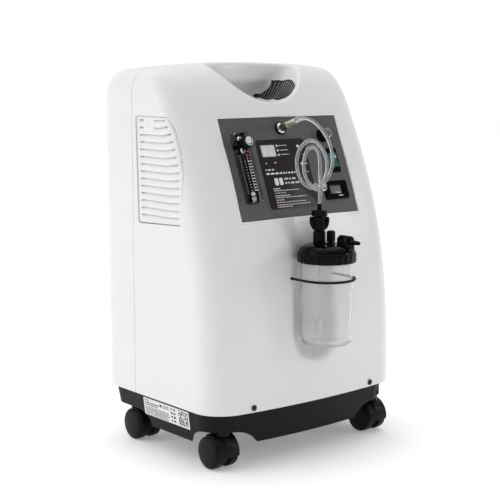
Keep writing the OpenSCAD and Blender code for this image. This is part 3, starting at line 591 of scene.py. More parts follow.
LEAF = [(38, -19), (46, -29), (57, -32), (66, -29), (73, -17), (76, -2), (72, 17), (61, 28),
    (56, 38), (50, 46.5), (42, 47), (44.5, 29), (42.5, 6)]
LEAF_MIDDLE = Vector((57, 6, 0))
LEAF_LINE = through([(*p, 0) for p in LEAF + LEAF[:1]], 4)[:-1]


def floor_height(x, y):
    """Height of the bowl's surface over plan points."""
    x, y = np.abs(np.asarray(x, float)), np.asarray(y, float)
    z = np.full(x.shape, 520.0)
    for _ in range(60):
        z += np.clip(-case_field(x, y, z), 0, 4) * 0.7
    return np.minimum(z, 576)


def leaf_patch(side, over, under, grow=0.0):
    """A leaf-shaped slab along the bowl's surface, from under it to over it."""
    rings = []
    for share in (1, 0.8, 0.6, 0.4, 0.2):
        row = [LEAF_MIDDLE + (p - LEAF_MIDDLE) * share for p in LEAF_LINE]
        rings.append([p + (p - LEAF_MIDDLE).normalized() * grow * share for p in row])
    rings.append([LEAF_MIDDLE])
    shape = Shape()
    layers = []
    for lift in (-under, over):
        layer = []
        for row in rings:
            heights = floor_height([p.x for p in row], [p.y for p in row])
            layer.append([Vector((side * p.x, p.y, h + lift)) for p, h in zip(row, heights)])
        layers.append(layer)
    shape.skin(list(reversed(layers[0])) + layers[1])
    return shape


STRAP_X, STRAP_Z = 42.3, 278


def cut_shells():
    """Cuts the case into its two shells, with their openings."""
    front = field_surface(case_field, 2.0, 0.004).build("case", [], place=HERE)
    cut(front, field_surface(lambda x, y, z: case_field(x, y, z) + WALL, 5.0, 0.01))
    cut(front, box_between((-300, -300, 0), (300, 300, SHELL_LOW)))
    rear = front.copy()
    rear.data = front.data.copy()
    bpy.context.scene.collection.objects.link(rear)
    gap = 0.4
    cut(front, box_between((-300, SEAM_Y - gap, 0), (300, 300, 700)))
    cut(rear, box_between((-300, -300, 0), (300, SEAM_Y + gap, 700)))
    opening = Shape()
    opening.slab(PANEL_W + 1, PANEL_H + 1, -30, 60, 3, 0.1, on_panel(0, PANEL_H / 2))
    cut(front, opening)
    for side in (-1, 1):
        cut(front, vent_cutter(side))
        cut(front, leaf_patch(side, 7, 9))
        hole = Shape()
        hole.turn([(2.6, -125), (2.6, -170)], move(side * STRAP_X, 0, STRAP_Z)
            @ spin(-90, "X"), n=24)
        cut(front, hole)
    for shape in rear_openings():
        cut(rear, shape)
    return front, rear


FILTER_Z, FILTER_W, FILTER_H = 380, 170, 210
INLET_X, INLET_Z, BREAKER_X = -115, 135, -72
EXHAUST_X, EXHAUST_Z, EXHAUST_SLOTS, EXHAUST_PITCH = 55, 120, 8, 10


def on_rear(x, z):
    """Places a shape on the rear wall: x across, y downwards, z out of it."""
    return move(x, SHELL_BACK, z) @ spin(-90, "X")


def rear_hole(w, h, r, x, z):
    hole = Shape()
    hole.slab(w, h, -20, 20, r, 0.1, on_rear(x, z))
    return hole


def rear_openings():
    """Cutters for the filter, the mains inlet, the breaker and the exhaust slots."""
    breaker = Shape()
    breaker.turn([(6.2, -20), (6.2, 20)], on_rear(BREAKER_X, INLET_Z))
    return [rear_hole(FILTER_W - 16, FILTER_H - 16, 4, 0, FILTER_Z),
        rear_hole(28.4, 22.4, 2, INLET_X, INLET_Z), breaker,
        *[rear_hole(120, 5, 2.4, EXHAUST_X, EXHAUST_Z + i * EXHAUST_PITCH)
            for i in range(EXHAUST_SLOTS)]]


def finish_shell(shell, name, node):
    """Gives the moulded faces the form's own normals and leaves cut edges crisp."""
    mesh = shell.data
    mesh.materials.clear()
    mesh.materials.append(WHITE)
    mesh.shade_smooth()
    count = len(mesh.vertices)
    points = np.zeros(count * 3)
    mesh.vertices.foreach_get("co", points)
    points = points.reshape(-1, 3)
    near = np.abs(case_field(*points.T)) < 0.3
    slope = slope_of(case_field, points)
    corners = np.zeros(len(mesh.loops), int)
    mesh.loops.foreach_get("vertex_index", corners)
    flat = np.zeros(len(mesh.polygons) * 3)
    mesh.polygons.foreach_get("normal", flat)
    totals = np.zeros(len(mesh.polygons), int)
    mesh.polygons.foreach_get("loop_total", totals)
    normals = np.repeat(flat.reshape(-1, 3), totals, axis=0)
    smooth = slope[corners]
    takes = near[corners] & ((normals * smooth).sum(1) > 0.8)
    normals[takes] = smooth[takes]
    mesh.normals_split_custom_set(normals.tolist())
    mesh.transform(PLACED)
    shell.name = name
    mesh.name = name
    settle(shell, "cabinet", [node])


front_case, rear_case = cut_shells()
finish_shell(front_case, "front_casing", "front_shell")
finish_shell(rear_case, "rear_casing", "rear_shell")


# === Panel surround ===

def surface_out(x, up):
    """Height of the case's surface over points of the panel's plane."""
    x, up = np.asarray(x, float), np.asarray(up, float)
    turn = math.radians(PANEL_TILT)
    low, high = np.full(x.shape, -14.0), np.full(x.shape, 16.0)
    for _ in range(24):
        out = (low + high) / 2
        y = PANEL_Y + up * math.sin(turn) - out * math.cos(turn)
        z = PANEL_Z + up * math.cos(turn) + out * math.sin(turn)
        inside = case_field(x, y, z) < 0
        low, high = np.where(inside, out, low), np.where(inside, high, out)
    return (low + high) / 2


RIM_LOW, RIM_SIDE, RIM_TOP = 4.6, 2.4, 1.2


def rim_outline(grow):
    """Points round the panel, further out by a share of the rim's width on each side."""
    steps = 28
    low, high = -RIM_LOW * grow, PANEL_H + RIM_TOP * grow
    half = PANEL_W / 2 + RIM_SIDE * grow + 0.2
    corners = [(-half, low - 0.2), (half, low - 0.2), (half, high + 0.2), (-half, high + 0.2)]
    points = []
    for (ax, ay), (bx, by) in zip(corners, corners[1:] + corners[:1]):
        for k in range(steps):
            t = (k + 0.5) / steps
            t = 0.5 - 0.5 * math.cos(math.pi * t)
            points.append((ax + (bx - ax) * t, ay + (by - ay) * t))
    return np.array(points)


def make_surround():
    """The sloping rim between the case and the sunk panel."""
    inner, edge, lip, foot = (rim_outline(g) for g in (0, 1, 1.25, 1.9))
    at_edge = np.maximum(surface_out(*edge.T) + 0.1, PANEL_FACE + 0.7)
    at_foot = surface_out(*foot.T)
    flat = np.zeros(len(inner))
    levels = [(inner, flat - 5.6), (inner, flat + PANEL_FACE + 0.15), (edge, at_edge - 0.15),
        (lip, np.maximum(surface_out(*lip.T) + 0.05, at_edge - 0.15)), (foot, at_foot - 0.5),
        (foot, at_foot - 3.2)]
    shape = Shape()
    shape.skin([[Vector((x, up, out)) for (x, up), out in zip(p, o)] for p, o in levels],
        ON_PANEL, loop=True)
    piece(shape, "panel_surround", "cabinet", [WHITE], sharp=24)


make_surround()


# === Side vents ===

VENT_SLOTS, VENT_TOP, VENT_PITCH = 14, 512, 11
VENT_BOSS = (14, 505)
# A slot's edge lies at the first depth and its undercut at the second; it is open only
# this near its ends.
SLOT_EDGE, UNDERCUT, VENT_GAP = 1.4, 5.5, 7


def wall_x(y, z):
    """Distance of the side wall from the middle plane."""
    y, z = np.broadcast_arrays(np.asarray(y, float), np.asarray(z, float))
    x = np.full(y.shape, float(HALF_W))
    for _ in range(40):
        x = x - case_field(x, y, z)
    return x


def vent_span(z):
    """Front and rear limit of the vent at a height."""
    spans = []
    trim = 2.5 * max(0, 1 - min(519 - z, z - 357) / 2.5)
    z = max(z, 361.2)
    for (ya, za), (yb, zb) in zip(VENT, VENT[1:] + VENT[:1]):
        if min(za, zb) <= z <= max(za, zb) and abs(zb - za) > 6:
            spans.append(ya + (z - za) / (zb - za) * (yb - ya))
    return min(spans) + 0.4 + trim, max(spans) - 0.4 - trim


def row_rise(z, share):
    """How far a row bends up towards the front; share runs from rear 0 to front 1."""
    size = np.interp(z, [357, 372, 440, 498, 508, 517], [0, 2.2, 4.5, 6.5, 4.5, 0])
    foot = 4.6 * share * np.interp(z, [357, 372], [1, 0])
    return foot + size * max(0.0, (share - 0.68) / 0.32) ** 1.6


def vent_rows():
    """Row heights from the top down, with how deep each lies in a slot and its slot."""
    rows = [(518.6, 0, None), (516.5, 0, None)]
    for i in range(VENT_SLOTS):
        z = VENT_TOP - i * VENT_PITCH + 1.7
        rows += [(z + 1.1, 0, i), (z + 0.35, 0.35, i), (z, SLOT_EDGE, i), (z + 1.5, UNDERCUT, i),
            (z - 1.2, 2.7, i), (z - 3.4, 0.8, i), (z - 5.4, 0.12, i)]
        if i < VENT_SLOTS - 1:
            rows.append((z - 7.6, 0, i))
    return rows + [(359.5, 0, None), (357.2, 0, None)]


def slot_open(i, y, front, rear):
    if i is None or not front + 8 < y < rear - 8.4:
        return False
    return i > 1 or not 0 < y < 27


def vent_row(z, deep, slot):
    """One row of the vent's grid as (y, z, depth, open), from rear to front."""
    rear = vent_span(z)[1]
    front = vent_span(min(z + row_rise(z, 1), 518.6))[0]
    ys = [rear, rear - 4, rear - 8.3, rear - 9.2, *np.linspace(rear - 11, front + 10.6, 34),
        front + 8.8, front + 7.9, front + 4, front]
    row = []
    for y in ys:
        in_slot = slot_open(slot, y, front, rear)
        height = z + row_rise(z, (rear - y) / (rear - front))
        if not in_slot and deep == UNDERCUT:
            height -= 1.6
        near_end = min(rear - 8.4 - y, y - front - 8) < VENT_GAP
        row.append((y, height, deep if in_slot else 0, in_slot and near_end))
    return row


def vent_faces(grid, depths):
    """Faces between the rows, left out where a slot is open."""
    tall, wide = grid.shape[:2]
    faces = []
    for j in range(tall - 1):
        for k in range(wide - 1):
            if depths[j] == SLOT_EDGE and grid[j, k, 3] and grid[j, k + 1, 3]:
                continue
            a = j * wide + k
            faces.append((a, a + 1, a + wide + 1, a + wide))
    return faces


def vent_boss(side, name):
    at = move(side * (float(wall_x(*VENT_BOSS)) - VENT_DEEP), *VENT_BOSS) @ spin(side * 90, "Y")
    boss = Shape()
    boss.turn([(1.9, -0.5), (1.9, 0.5), (2.5, 0.9), (6.5, 0.7), (8.5, 0.02), (8.5, -0.5)], at)
    # A near-black disc a little way down the boss's hole: painted shade of the hole.
    boss.turn([(0, -0.35), (1.95, -0.35), (1.95, -1), (0, -1)], at, 1)
    return boss.build(name + "_boss", [WHITE, DARK_BACK_AND_SHADE], 50)


def make_vent(side, name, node):
    rows = vent_rows()
    grid = np.array([vent_row(*row) for row in rows])
    y, z, deep = grid[:, :, 0], grid[:, :, 1], grid[:, :, 2]
    x = side * (wall_x(y, z) - VENT_DEEP - deep)
    shape = Shape()
    shape.mesh(list(zip(x.ravel(), y.ravel(), z.ravel())), vent_faces(grid, [r[1] for r in rows]))
    made = shape.build(name, [WHITE, DARK_BACK_AND_SHADE], 50)
    thicken = made.modifiers.new("thick", "SOLIDIFY")
    outward = side * sum(p.normal.x * p.area for p in made.data.polygons) > 0
    thicken.thickness, thicken.offset = 1.3 * MM, -1 if outward else 1
    apply_modifiers(made)
    settle(joined([made, vent_boss(side, name)]), "cabinet", [node])


def apply_modifiers(made):
    bpy.context.view_layer.update()
    whole = made.evaluated_get(bpy.context.evaluated_depsgraph_get())
    baked = bpy.data.meshes.new_from_object(whole)
    made.modifiers.clear()
    made.data = baked


def joined(objects):
    """Makes one object of several that share a list of materials."""
    bm = bmesh.new()
    for made in objects:
        bm.from_mesh(made.data)
    bm.to_mesh(objects[0].data)
    bm.free()
    for made in objects[1:]:
        bpy.data.objects.remove(made)
    return objects[0]


make_vent(-1, "left_vent_grille", "side_vent_left")
make_vent(1, "right_vent_grille", "side_vent_right")


# === Louvres in the grip's bowl ===

def leaf_range(y):
    """Limits of the leaf across x at a depth y."""
    cuts = []
    for (xa, ya), (xb, yb) in zip(LEAF, LEAF[1:] + LEAF[:1]):
        if (ya > y) != (yb > y):
            cuts.append(xa + (y - ya) / (yb - ya) * (xb - xa))
    return min(cuts), max(cuts)


def add_rib(shape, side, y):
    """A thin rib along the bowl's wall, leaning forward: a dark blade whose top edge is light grey
    as a painted highlight.
    """
    low, high = leaf_range(y)
    xs = np.linspace(low + 0.2, high - 0.2, 14)
    top = floor_height(xs, np.full(14, y)) - 1.3
    blade, edge = [], []
    for x, z in zip(xs, top):
        # The rib widens towards the bowl's side, so its painted highlight reads lighter there.
        half = np.interp(x, [40, 74], [0.2, 1.0])
        blade.append([Vector((side * x, y + dy * half, z + dz)) for dy, dz in
            ((-1, -6), (-1, -0.35), (1, -0.35), (1, -6))])
        edge.append([Vector((side * x, y + dy * half, z + dz)) for dy, dz in
            ((-1, -0.35), (-0.8, -0.05), (0.8, -0.05), (1, -0.35))])
    shape.skin(blade, fill=1)
    shape.skin(edge)


def make_louvre(side, name, node):
    base = leaf_patch(side, -6, 7.5, -0.2)
    base.fills = [1] * len(base.fills)
    for y in np.arange(-28, 44, 5.4):
        add_rib(base, side, y)
    rings = []
    for grow, lift in ((0.05, -8), (0.05, -0.9), (-0.7, -0.6), (-1.3, -0.9), (-1.3, -8)):
        row = [p + (p - LEAF_MIDDLE).normalized() * grow for p in LEAF_LINE]
        heights = floor_height([p.x for p in row], [p.y for p in row])
        rings.append([Vector((side * p.x, p.y, h + lift)) for p, h in zip(row, heights)])
    base.skin(rings, fill=1, loop=True)
    piece(base, name, "cabinet", [LOUVRE_HIGHLIGHT, DARK_BACK_AND_SHADE], [node], 40)


make_louvre(-1, "left_grip_louvre", "intake_louvre_left")
make_louvre(1, "right_grip_louvre", "intake_louvre_right")


# === Print on the panel's label ===

def words(shape, x, up, length, height, seed, fill=1, low=0.0, thick=0.07, word=4.2):
    """A line of short bars of mixed lengths, as generic small print."""
    spread_of = np.random.RandomState(seed)
    at = x
    while at < x + length - 0.6:
        w = min(word * (0.45 + spread_of.rand()), x + length - at)
        add_bar(shape, at + w / 2, up, w, height, fill, low, thick)
        at += w + height * 0.75


def add_bar(shape, x, up, w, h, fill=1, low=0.0, thick=0.07):
    """A thin bar with round corners on the panel."""
    shape.slab(w, h, low, low + thick, min(w, h) * 0.3, 0.01, on_panel(x, up), fill, steps=2)


def add_dot(shape, x, up, r, fill=1, low=0.0, thick=0.07):
    shape.turn([(0, low), (r, low), (r, low + thick), (0, low + thick)], on_panel(x, up), fill,
        20)


def make_label():
    film = PANEL_FACE + 0.5
    shape = Shape()
    shape.slab(98, 110, PANEL_FACE + 0.02, film, 5, 0.15, on_panel(-9, 69))
    for up in (113.7, 106.3, 99.3):
        add_dot(shape, -17.5, up, 1.7, 1, film, 0.3)
        words(shape, -13.4, up + 0.2, 17, 1.5, int(up), 3, film, 0.07, 3)
    for up in (111.5, 83.2):
        add_dot(shape, 24.6, up, 2.3, 1, film, 0.4)
    words(shape, 31, 97.5, 5, 1.5, 5, 3, film)
    words(shape, 31.2, 82.8, 5, 1.5, 6, 3, film)
    add_dot(shape, -46, 86.8, 1.2, 1, film)
    add_bar(shape, -28, 87.2, 4, 1.5, 1, film)
    words(shape, -51, 76.3, 19, 2.6, 7, 3, film, 0.07, 5)
    words(shape, -51, 70.2, 58, 2.7, 8, 1, film, 0.07, 5)
    words(shape, 22, 69.6, 12, 1.8, 9, 3, film)
    add_bar(shape, -34.6, 57.2, 7.2, 11.6, 1, film)
    add_bar(shape, -25.4, 57.2, 7.2, 11.6, 1, film)
    words(shape, -18.6, 60.8, 23, 3, 10, 3, film, 0.07, 7)
    words(shape, -18.6, 54.2, 32, 3, 11, 3, film, 0.07, 7)
    words(shape, -44, 46.2, 13, 1.6, 12, 1, film)
    lines = [(43, 50), (39.3, 24), (35, 30), (32, 62), (28.3, 17), (24.6, 60), (20.6, 66),
        (17.4, 30)]
    for i, (up, length) in enumerate(lines):
        words(shape, -44, up, length, 1.45, 20 + i, 1 if i == 2 else 3, film, 0.07, 3.4)
    piece(shape, "panel_label_film", "cabinet",
        [LABEL, PRINT_AND_HIGHLIGHT, RED_INK, PRINT_GREY], ["panel_label"])


def make_window():
    at = on_panel(-36.2, 106.2)
    shape = Shape()
    shape.slab(27.4, 18.4, PANEL_FACE + 0.02, PANEL_FACE + 0.85, 1, 0.25, at)
    shape.frame((25.4, 16.4), (24.8, 15.8), PANEL_FACE + 0.8, PANEL_FACE + 0.95, 0.8, 0.6,
        0.02, at, 1)
    piece(shape, "status_window_pane", "cabinet", [WINDOW, LCD],
        ["status_window"])


make_label()
make_window()


# === Panel fittings ===

def make_hour_meter():
    at = on_panel(81.5, 36.5, PANEL_FACE)
    window = at @ move(-1, 0.7, 0)
    shape = Shape()
    shape.frame((49, 30), (26, 15.4), 0.02, 3, 4, 1.2, 1.0, at)
    shape.frame((26.2, 15.6), (23.4, 12.8), 1.0, 2.1, 1.2, 0.8, 0.4, window)
    shape.slab(43.6, 24.6, -18, 0.5, 2, 0.4, at)
    shape.slab(24, 13.4, 0.4, 1.2, 0.6, 0.05, window, 1)
    shape.slab(9.6, 1.3, 2.9, 3.06, 0.3, 0.02, at @ move(6, -9.6, 0), 2)
    piece(shape, "hour_meter_unit", "cabinet", [BLACK_GLOSS_AND_SHADE, LCD, PRINT_AND_HIGHLIGHT],
        ["hour_meter"])


SWITCH_X, SWITCH_UP, ROCKER_OUT = 88.5, 85, PANEL_FACE - 2


def make_switch():
    at = on_panel(SWITCH_X, SWITCH_UP, PANEL_FACE)
    shape = Shape()
    shape.frame((27, 40), (19.8, 26.8), 0.02, 2.2, 2, 0.8, 0.7, at)
    shape.frame((23.6, 34), (22.2, 31), 2.0, 2.7, 1.6, 1.2, 0.3, at)
    shape.frame((22, 32), (19.8, 26.8), -22, 0.1, 1, 0.6, 0.1, at)
    shape.slab(21.8, 31.8, -22, -19, 1, 0.2, at)
    piece(shape, "switch_frame", "cabinet", [BLACK_GLOSS_AND_SHADE], ["switch_bezel"])


def make_rocker():
    """A lens-shaped key: a drum about its pivot, hollowed by a wide finger dish."""
    drum, dish, dish_out = 13.0, 29.0, 34.0
    meet = (drum ** 2 - dish ** 2 + dish_out ** 2) / (2 * dish_out)
    a = math.acos(meet / drum)
    b = math.asin(drum * math.sin(a) / dish)
    outline = [(dish * math.sin(t), dish_out - dish * math.cos(t))
        for t in np.linspace(-b, b, 15)]
    low = math.pi - math.acos(6 / drum)
    side = [(drum * math.sin(t), drum * math.cos(t)) for t in np.linspace(a, low, 12)]
    outline += side[1:] + [(-x, z) for x, z in reversed(side[1:])]
    turn = on_panel(SWITCH_X, SWITCH_UP, ROCKER_OUT) @ ALONG_X
    shape = Shape()
    shape.drawn_in(outline, 1, ((-9.5, 0.94), (-9.2, 0.98), (-8.7, 1), (8.7, 1), (9.2, 0.98),
        (9.5, 0.94)), turn)
    for way in (-1, 1):
        shape.turn([(0, 9.4), (1.5, 9.4), (1.5, 10.4), (0, 10.4)],
            turn @ spin(90 - way * 90, "X"), n=20)
    mark = on_panel(SWITCH_X, SWITCH_UP + 8, ROCKER_OUT + 1.95) @ spin(-14, "X")
    shape.slab(1.1, 5, 4.0, 4.14, 0.4, 0.02, mark, 1)
    piece(shape, "power_rocker_key", "rocker", [TEAL, PRINT_AND_HIGHLIGHT], ["power_rocker"],
        28)


FLOW_X, FLOW_LOW, FLOW_HIGH, FLOW_DEEP = -90, 26, 134, 12
KNOB_UP = 116


def make_flowmeter():
    """A clear block with a bored tube over a dark backing that carries the scale; the backing's
    rim past the block is painted shade.
    """
    at = on_panel(FLOW_X, 0, PANEL_FACE)
    middle = (FLOW_LOW + FLOW_HIGH) / 2
    centre = at @ move(0, middle, 0)
    shape = Shape()
    shape.slab(25, 108, 0.7, FLOW_DEEP, 2.5, 0.9, centre)
    bore = move(0, 36, 4) @ spin(-90, "X")
    shape.turn([(0, 0), (4.55, 0), (4.6, 66), (0, 66)], at @ bore, n=36)
    made = shape.build("flowmeter_block", [ACRYLIC], 30)
    settle(made, "cabinet", ["flowmeter_body"])
    back = Shape()
    # A black plate behind the clear block; where it reaches past the block's edge, its dark rim is
    # painted shade round the flowmeter.
    back.slab(25.6, 108.6, 0.02, 0.6, 2.8, 0.15, centre)
    back.slab(21.4, 104, -10, 0.1, 3, 0.2, centre)
    piece(back, "flowmeter_backing_and_painted_shade_rim", "cabinet", [BLACK_GLOSS_AND_SHADE])
    metal = Shape()
    for low, high in ((28.5, 35.6), (102.4, 110)):
        post = move(0, low, 4) @ spin(-90, "X")
        tall = high - low
        metal.turn([(0, 0), (3.2, 0), (3.2, tall * 0.3), (4.4, tall * 0.36), (4.4, tall * 0.9),
            (3.9, tall), (0, tall)], at @ post, n=36)
    metal.turn([(0, 0.65), (4.6, 0.65), (4.6, 3.2), (3.2, 4), (3.2, 8), (0, 8)],
        at @ move(0, 125, 0), n=36)
    piece(metal, "flowmeter_fittings", "cabinet", [CHROME])


def make_scale_and_highlight():
    """The ladder of marks beside the flowmeter's bore, red near its top, and a white line down the
    bore that is a painted highlight on the tube.
    """
    shape = Shape()
    low = PANEL_FACE + FLOW_DEEP + 0.01
    for i in range(13):
        up = 44 + i * 4.5
        wide = 6.2 if i % 2 == 0 else 4.4
        fill = 1 if i > 10 else 0
        add_bar(shape, FLOW_X + 3.6, up, wide, 1.25, fill, low)
        add_bar(shape, FLOW_X - 5.6, up, 1.6, 1.0, fill, low)
    # A thin white line down the middle of the bore: a painted highlight on the tube.
    add_bar(shape, FLOW_X + 0.1, 71.5, 0.5, 58, 0, low)
    add_bar(shape, FLOW_X + 4, 104.2, 5.4, 3, 1, low)
    piece(shape, "flowmeter_scale_and_painted_highlight", "cabinet", [PRINT_AND_HIGHLIGHT, RED_INK])


def make_knob():
    """A knurled knob with a bright ring round the hollow of its face, and a black crescent painted
    as shade on one side of the hollow.
    """
    at = on_panel(FLOW_X, KNOB_UP, PANEL_FACE)
    shape = Shape()
    rings = []
    for out, r, knurl in ((12.4, 8.2, 0), (12.7, 8.9, 0.5), (13.4, 9.2, 1), (24.6, 9.2, 1),
            (25.6, 8.9, 0.6), (26.2, 8.4, 0)):
        rings.append([Vector(((r + 0.3 * knurl * math.cos(24 * t)) * math.cos(t),
            (r + 0.3 * knurl * math.cos(24 * t)) * math.sin(t), out))
            for t in np.linspace(0, 2 * math.pi, 192, endpoint=False)])
    rings += [circle(7.5, 192, 26.35), circle(7.3, 192, 25.9)]
    rings = [circle(2.95, 192, 0.7), circle(2.95, 192, 12.4)] + rings
    shape.skin(rings, at)
    shape.turn([(0, 25.3), (7.3, 25.3), (7.25, 26.0), (6.9, 26.3), (5.4, 26.0), (5.1, 25.75),
        (0, 25.7)], at, 1)
    # A black disc set off to one side shows as a crescent of painted shade in the face's hollow.
    shade_crescent = at @ move(0.5, -0.5, 0)
    shape.turn([(0, 25.72), (5.7, 25.72), (5.6, 26.02), (5.2, 26.1), (0, 26.1)], shade_crescent, 2, 48)
    disc = at @ move(-0.7, 0.7, 0)
    shape.turn([(0, 25.72), (4.9, 25.72), (4.9, 26.25), (4.5, 26.4), (0, 26.45)], disc, 1, 48)
    piece(shape, "flow_control_knob", "knob", [SATIN, WINDOW, BLACK_GLOSS_AND_SHADE],
        ["flow_knob"], 40)


def make_outlet():
    at = on_panel(-1.5, 141)
    shape = Shape()
    f = PANEL_FACE
    shape.turn([(1.6, -14), (5.9, -14), (5.9, f), (9.2, f), (10, f + 0.6), (10, f + 2.4),
        (9.3, f + 3.2), (8.2, f + 3.3), (7.9, f + 2.2), (1.6, f + 2.2)], at, n=64)
    shape.turn([(7.8, f + 2.1), (8.1, f + 3.5), (7.5, f + 4.1), (6.8, 3.6), (6.4, 3.4)], at, 1,
        64)
    shape.turn([(1.65, f + 2), (6.6, f + 2), (6.6, 4.2), (5.9, 5), (5.6, 8), (4.9, 14),
        (4.5, 18), (3.5, 19), (3.4, 22), (4, 22.6), (3, 27), (4, 27.6), (3, 32), (3.6, 32.6),
        (2.7, 36), (1.7, 36)], at, 2, 64)
    piece(shape, "oxygen_outlet_fitting", "cabinet", [BLACK_GLOSS_AND_SHADE, CHROME, NICKEL],
        ["oxygen_outlet"], 30)


def make_nebuliser():
    at = on_panel(81, 126.5)
    f = PANEL_FACE
    shape = Shape()
    shape.turn([(1.6, -14), (5.9, -14), (5.9, f), (10.4, f), (11, f + 0.5), (11, f + 1.6),
        (9.6, f + 4.6), (5.4, f + 4.9), (4.6, 5), (4, 5.6), (4, 11.6), (3.6, 12), (1.6, 12)], at,
        n=64)
    piece(shape, "nebuliser_outlet_fitting", "cabinet", [BLACK_GLOSS_AND_SHADE],
        ["nebuliser_outlet"], 30)
    cap = Shape()
    cap.turn([(4.1, 5.1), (5.4, 5.1), (5.6, 5.5), (5.7, 11.6), (6.4, 12.3), (8, 12.8), (8, 15.6),
        (7.6, 16.2), (6.6, 16.4), (5.8, 15.9), (3, 15.7), (0, 15.7)], at, n=64)
    cap.turn([(4.1, 5.1), (4.1, 13.6), (3.6, 14.2), (0, 14.2)], at, n=64)
    piece(cap, "nebuliser_outlet_cap", "nebuliser_plug", [CAP], ["nebuliser_cap"],
        40)


make_hour_meter()
make_switch()
make_rocker()
make_flowmeter()
make_scale_and_highlight()
make_knob()
make_outlet()
make_nebuliser()


# === Humidifier bottle ===

JAR_Z, LID_Z, LID_TOP = 179, 304, 330
STEM = move(0, -160, 0)
WING_TURN = -39


def make_jar():
    z = JAR_Z
    shape = Shape()
    shape.turn([(0, z + 3), (15, z + 2.2), (18, z + 1), (20, z + 0.2), (22, z), (32, z),
        (34.5, z + 0.7), (36.4, z + 2.6), (37.3, z + 5), (37.8, z + 10.5), (38.5, z + 12.2),
        (38.9, z + 14), (39.1, z + 40), (39.4, z + 80), (39.8, z + 115), (40, z + 120),
        (39.7, z + 122), (38, z + 124.4), (38, z + 136.8), (37.7, z + 137), (36.2, z + 137),
        (36, z + 136.6), (36, z + 122), (37.4, z + 119), (37.6, z + 114), (37.1, z + 60),
        (36.6, z + 15), (35.6, z + 11.6), (35, z + 7), (33.6, z + 5), (30, z + 4), (20, z + 4.4),
        (15, z + 5.4), (0, z + 6)], BOTTLE, n=96)
    piece(shape, "humidifier_jar_shell", "jar", [JAR], ["humidifier_jar"], 40)


def fluted(r, z, depth, flutes=24, n=216):
    """A ring whose radius swells and dips evenly, as grip ribs do."""
    ring = []
    for k in range(n):
        t = 2 * math.pi * k / n
        swell = r - depth * (0.5 - 0.5 * math.cos(flutes * t)) ** 2
        ring.append(Vector((swell * math.cos(t), swell * math.sin(t), z)))
    return ring


def make_lid():
    z = LID_Z
    shape = Shape()
    rings = [circle(38.15, 216, z + 11.5), circle(38.15, 216, z), fluted(43.6, z, 0.4),
        fluted(44.3, z + 0.5, 0.8), fluted(44.4, z + 1.4, 0.9), fluted(44.4, z + 12.6, 0.9),
        fluted(44.2, z + 13.8, 0.6), circle(43.6, 216, z + 14.7)]
    rings += [circle(r, 216, z + up) for r, up in ((42.6, 15.2), (42.2, 16.4), (40.8, 19.4),
        (38.4, 22), (35, 24.2), (31, 25.6), (27, 26), (5, 26))]
    rings += [circle(5, 216, z + 21.6), circle(30, 216, z + 18.5), circle(36, 216, z + 14)]
    shape.skin(rings, BOTTLE, loop=True)
    shape.frame((20, 20), (15, 15), z + 25.6, z + 26.6, 10, 7.5, 0.3, BOTTLE)
    piece(shape, "humidifier_screw_lid", "cabinet", [BLACK_GLOSS_AND_SHADE],
        ["humidifier_lid"], 32)


def make_inlet():
    z = JAR_Z
    shape = Shape()
    shape.turn([(1.5, z + 33), (2.6, z + 33), (2.6, LID_Z + 8), (1.5, LID_Z + 8)], STEM, 2, 48)
    shape.turn([(1.5, LID_Z + 4), (4, LID_Z + 5), (4, LID_TOP),
        (9, LID_TOP), (9, 336), (8.4, 336.6), (8.4, 338), (9, 338.6), (9, 347.2), (8.4, 348),
        (3.7, 348.6), (3.7, 370.6), (11.2, 370.6), (12, 371.4), (12, 377.6), (11.2, 378.5),
        (5.4, 378.7), (4.4, 379.6), (3.8, 380.4), (3.4, 381), (3.9, 383.2), (3.2, 385.4),
        (3.7, 387), (3, 389), (1.5, 389)], STEM, n=64)
    shape.turn([(1.5, z + 33), (4.2, z + 33), (5, z + 31.6), (5, z + 15), (4.2, z + 14),
        (0, z + 14), (0, z + 20), (1.5, z + 20)], STEM, 1, 48)
    for k in range(8):
        around = STEM @ spin(45 * k, "Z")
        shape.slab(0.9, 1.6, 330, 347.4, 0.3, 0.2, around @ move(9, 0, 0))
    piece(shape, "humidifier_inlet_stem", "cabinet", [BLACK_GLOSS_AND_SHADE, COVER, CAP],
        ["humidifier_inlet"], 30)


def make_wing_nut():
    shape = Shape()
    shape.turn([(3.8, 349), (8.2, 349), (9, 349.8), (9, 368.6), (8.2, 369.5), (3.8, 369.5)],
        STEM, n=48)
    half = [(9, 350), (10.6, 351.4), (12.6, 354.4), (14.2, 358), (15, 361.8), (15, 366.2),
        (14.4, 368.6), (13, 369.5)]
    outline = half + [(-x, z) for x, z in reversed(half)]
    stand = STEM @ spin(WING_TURN, "Z") @ spin(90, "X")
    shape.drawn_in(outline, 360, ((-2.5, 0.93), (-2.1, 0.98), (-1.4, 1), (1.4, 1), (2.1, 0.98),
        (2.5, 0.93)), stand)
    for side in (-1, 1):
        for y in (-1, 1):
            bar = [(side * 10.5, 353, y * 2.6), (side * 13, 360, y * 2.6),
                (side * 12.6, 366, y * 2.6)]
            shape.sweep(bar, 0.7, stand, n=8)
    piece(shape, "inlet_wing_nut_grip", "wing_nut", [BLACK_GLOSS_AND_SHADE],
        ["inlet_wing_nut"], 35)


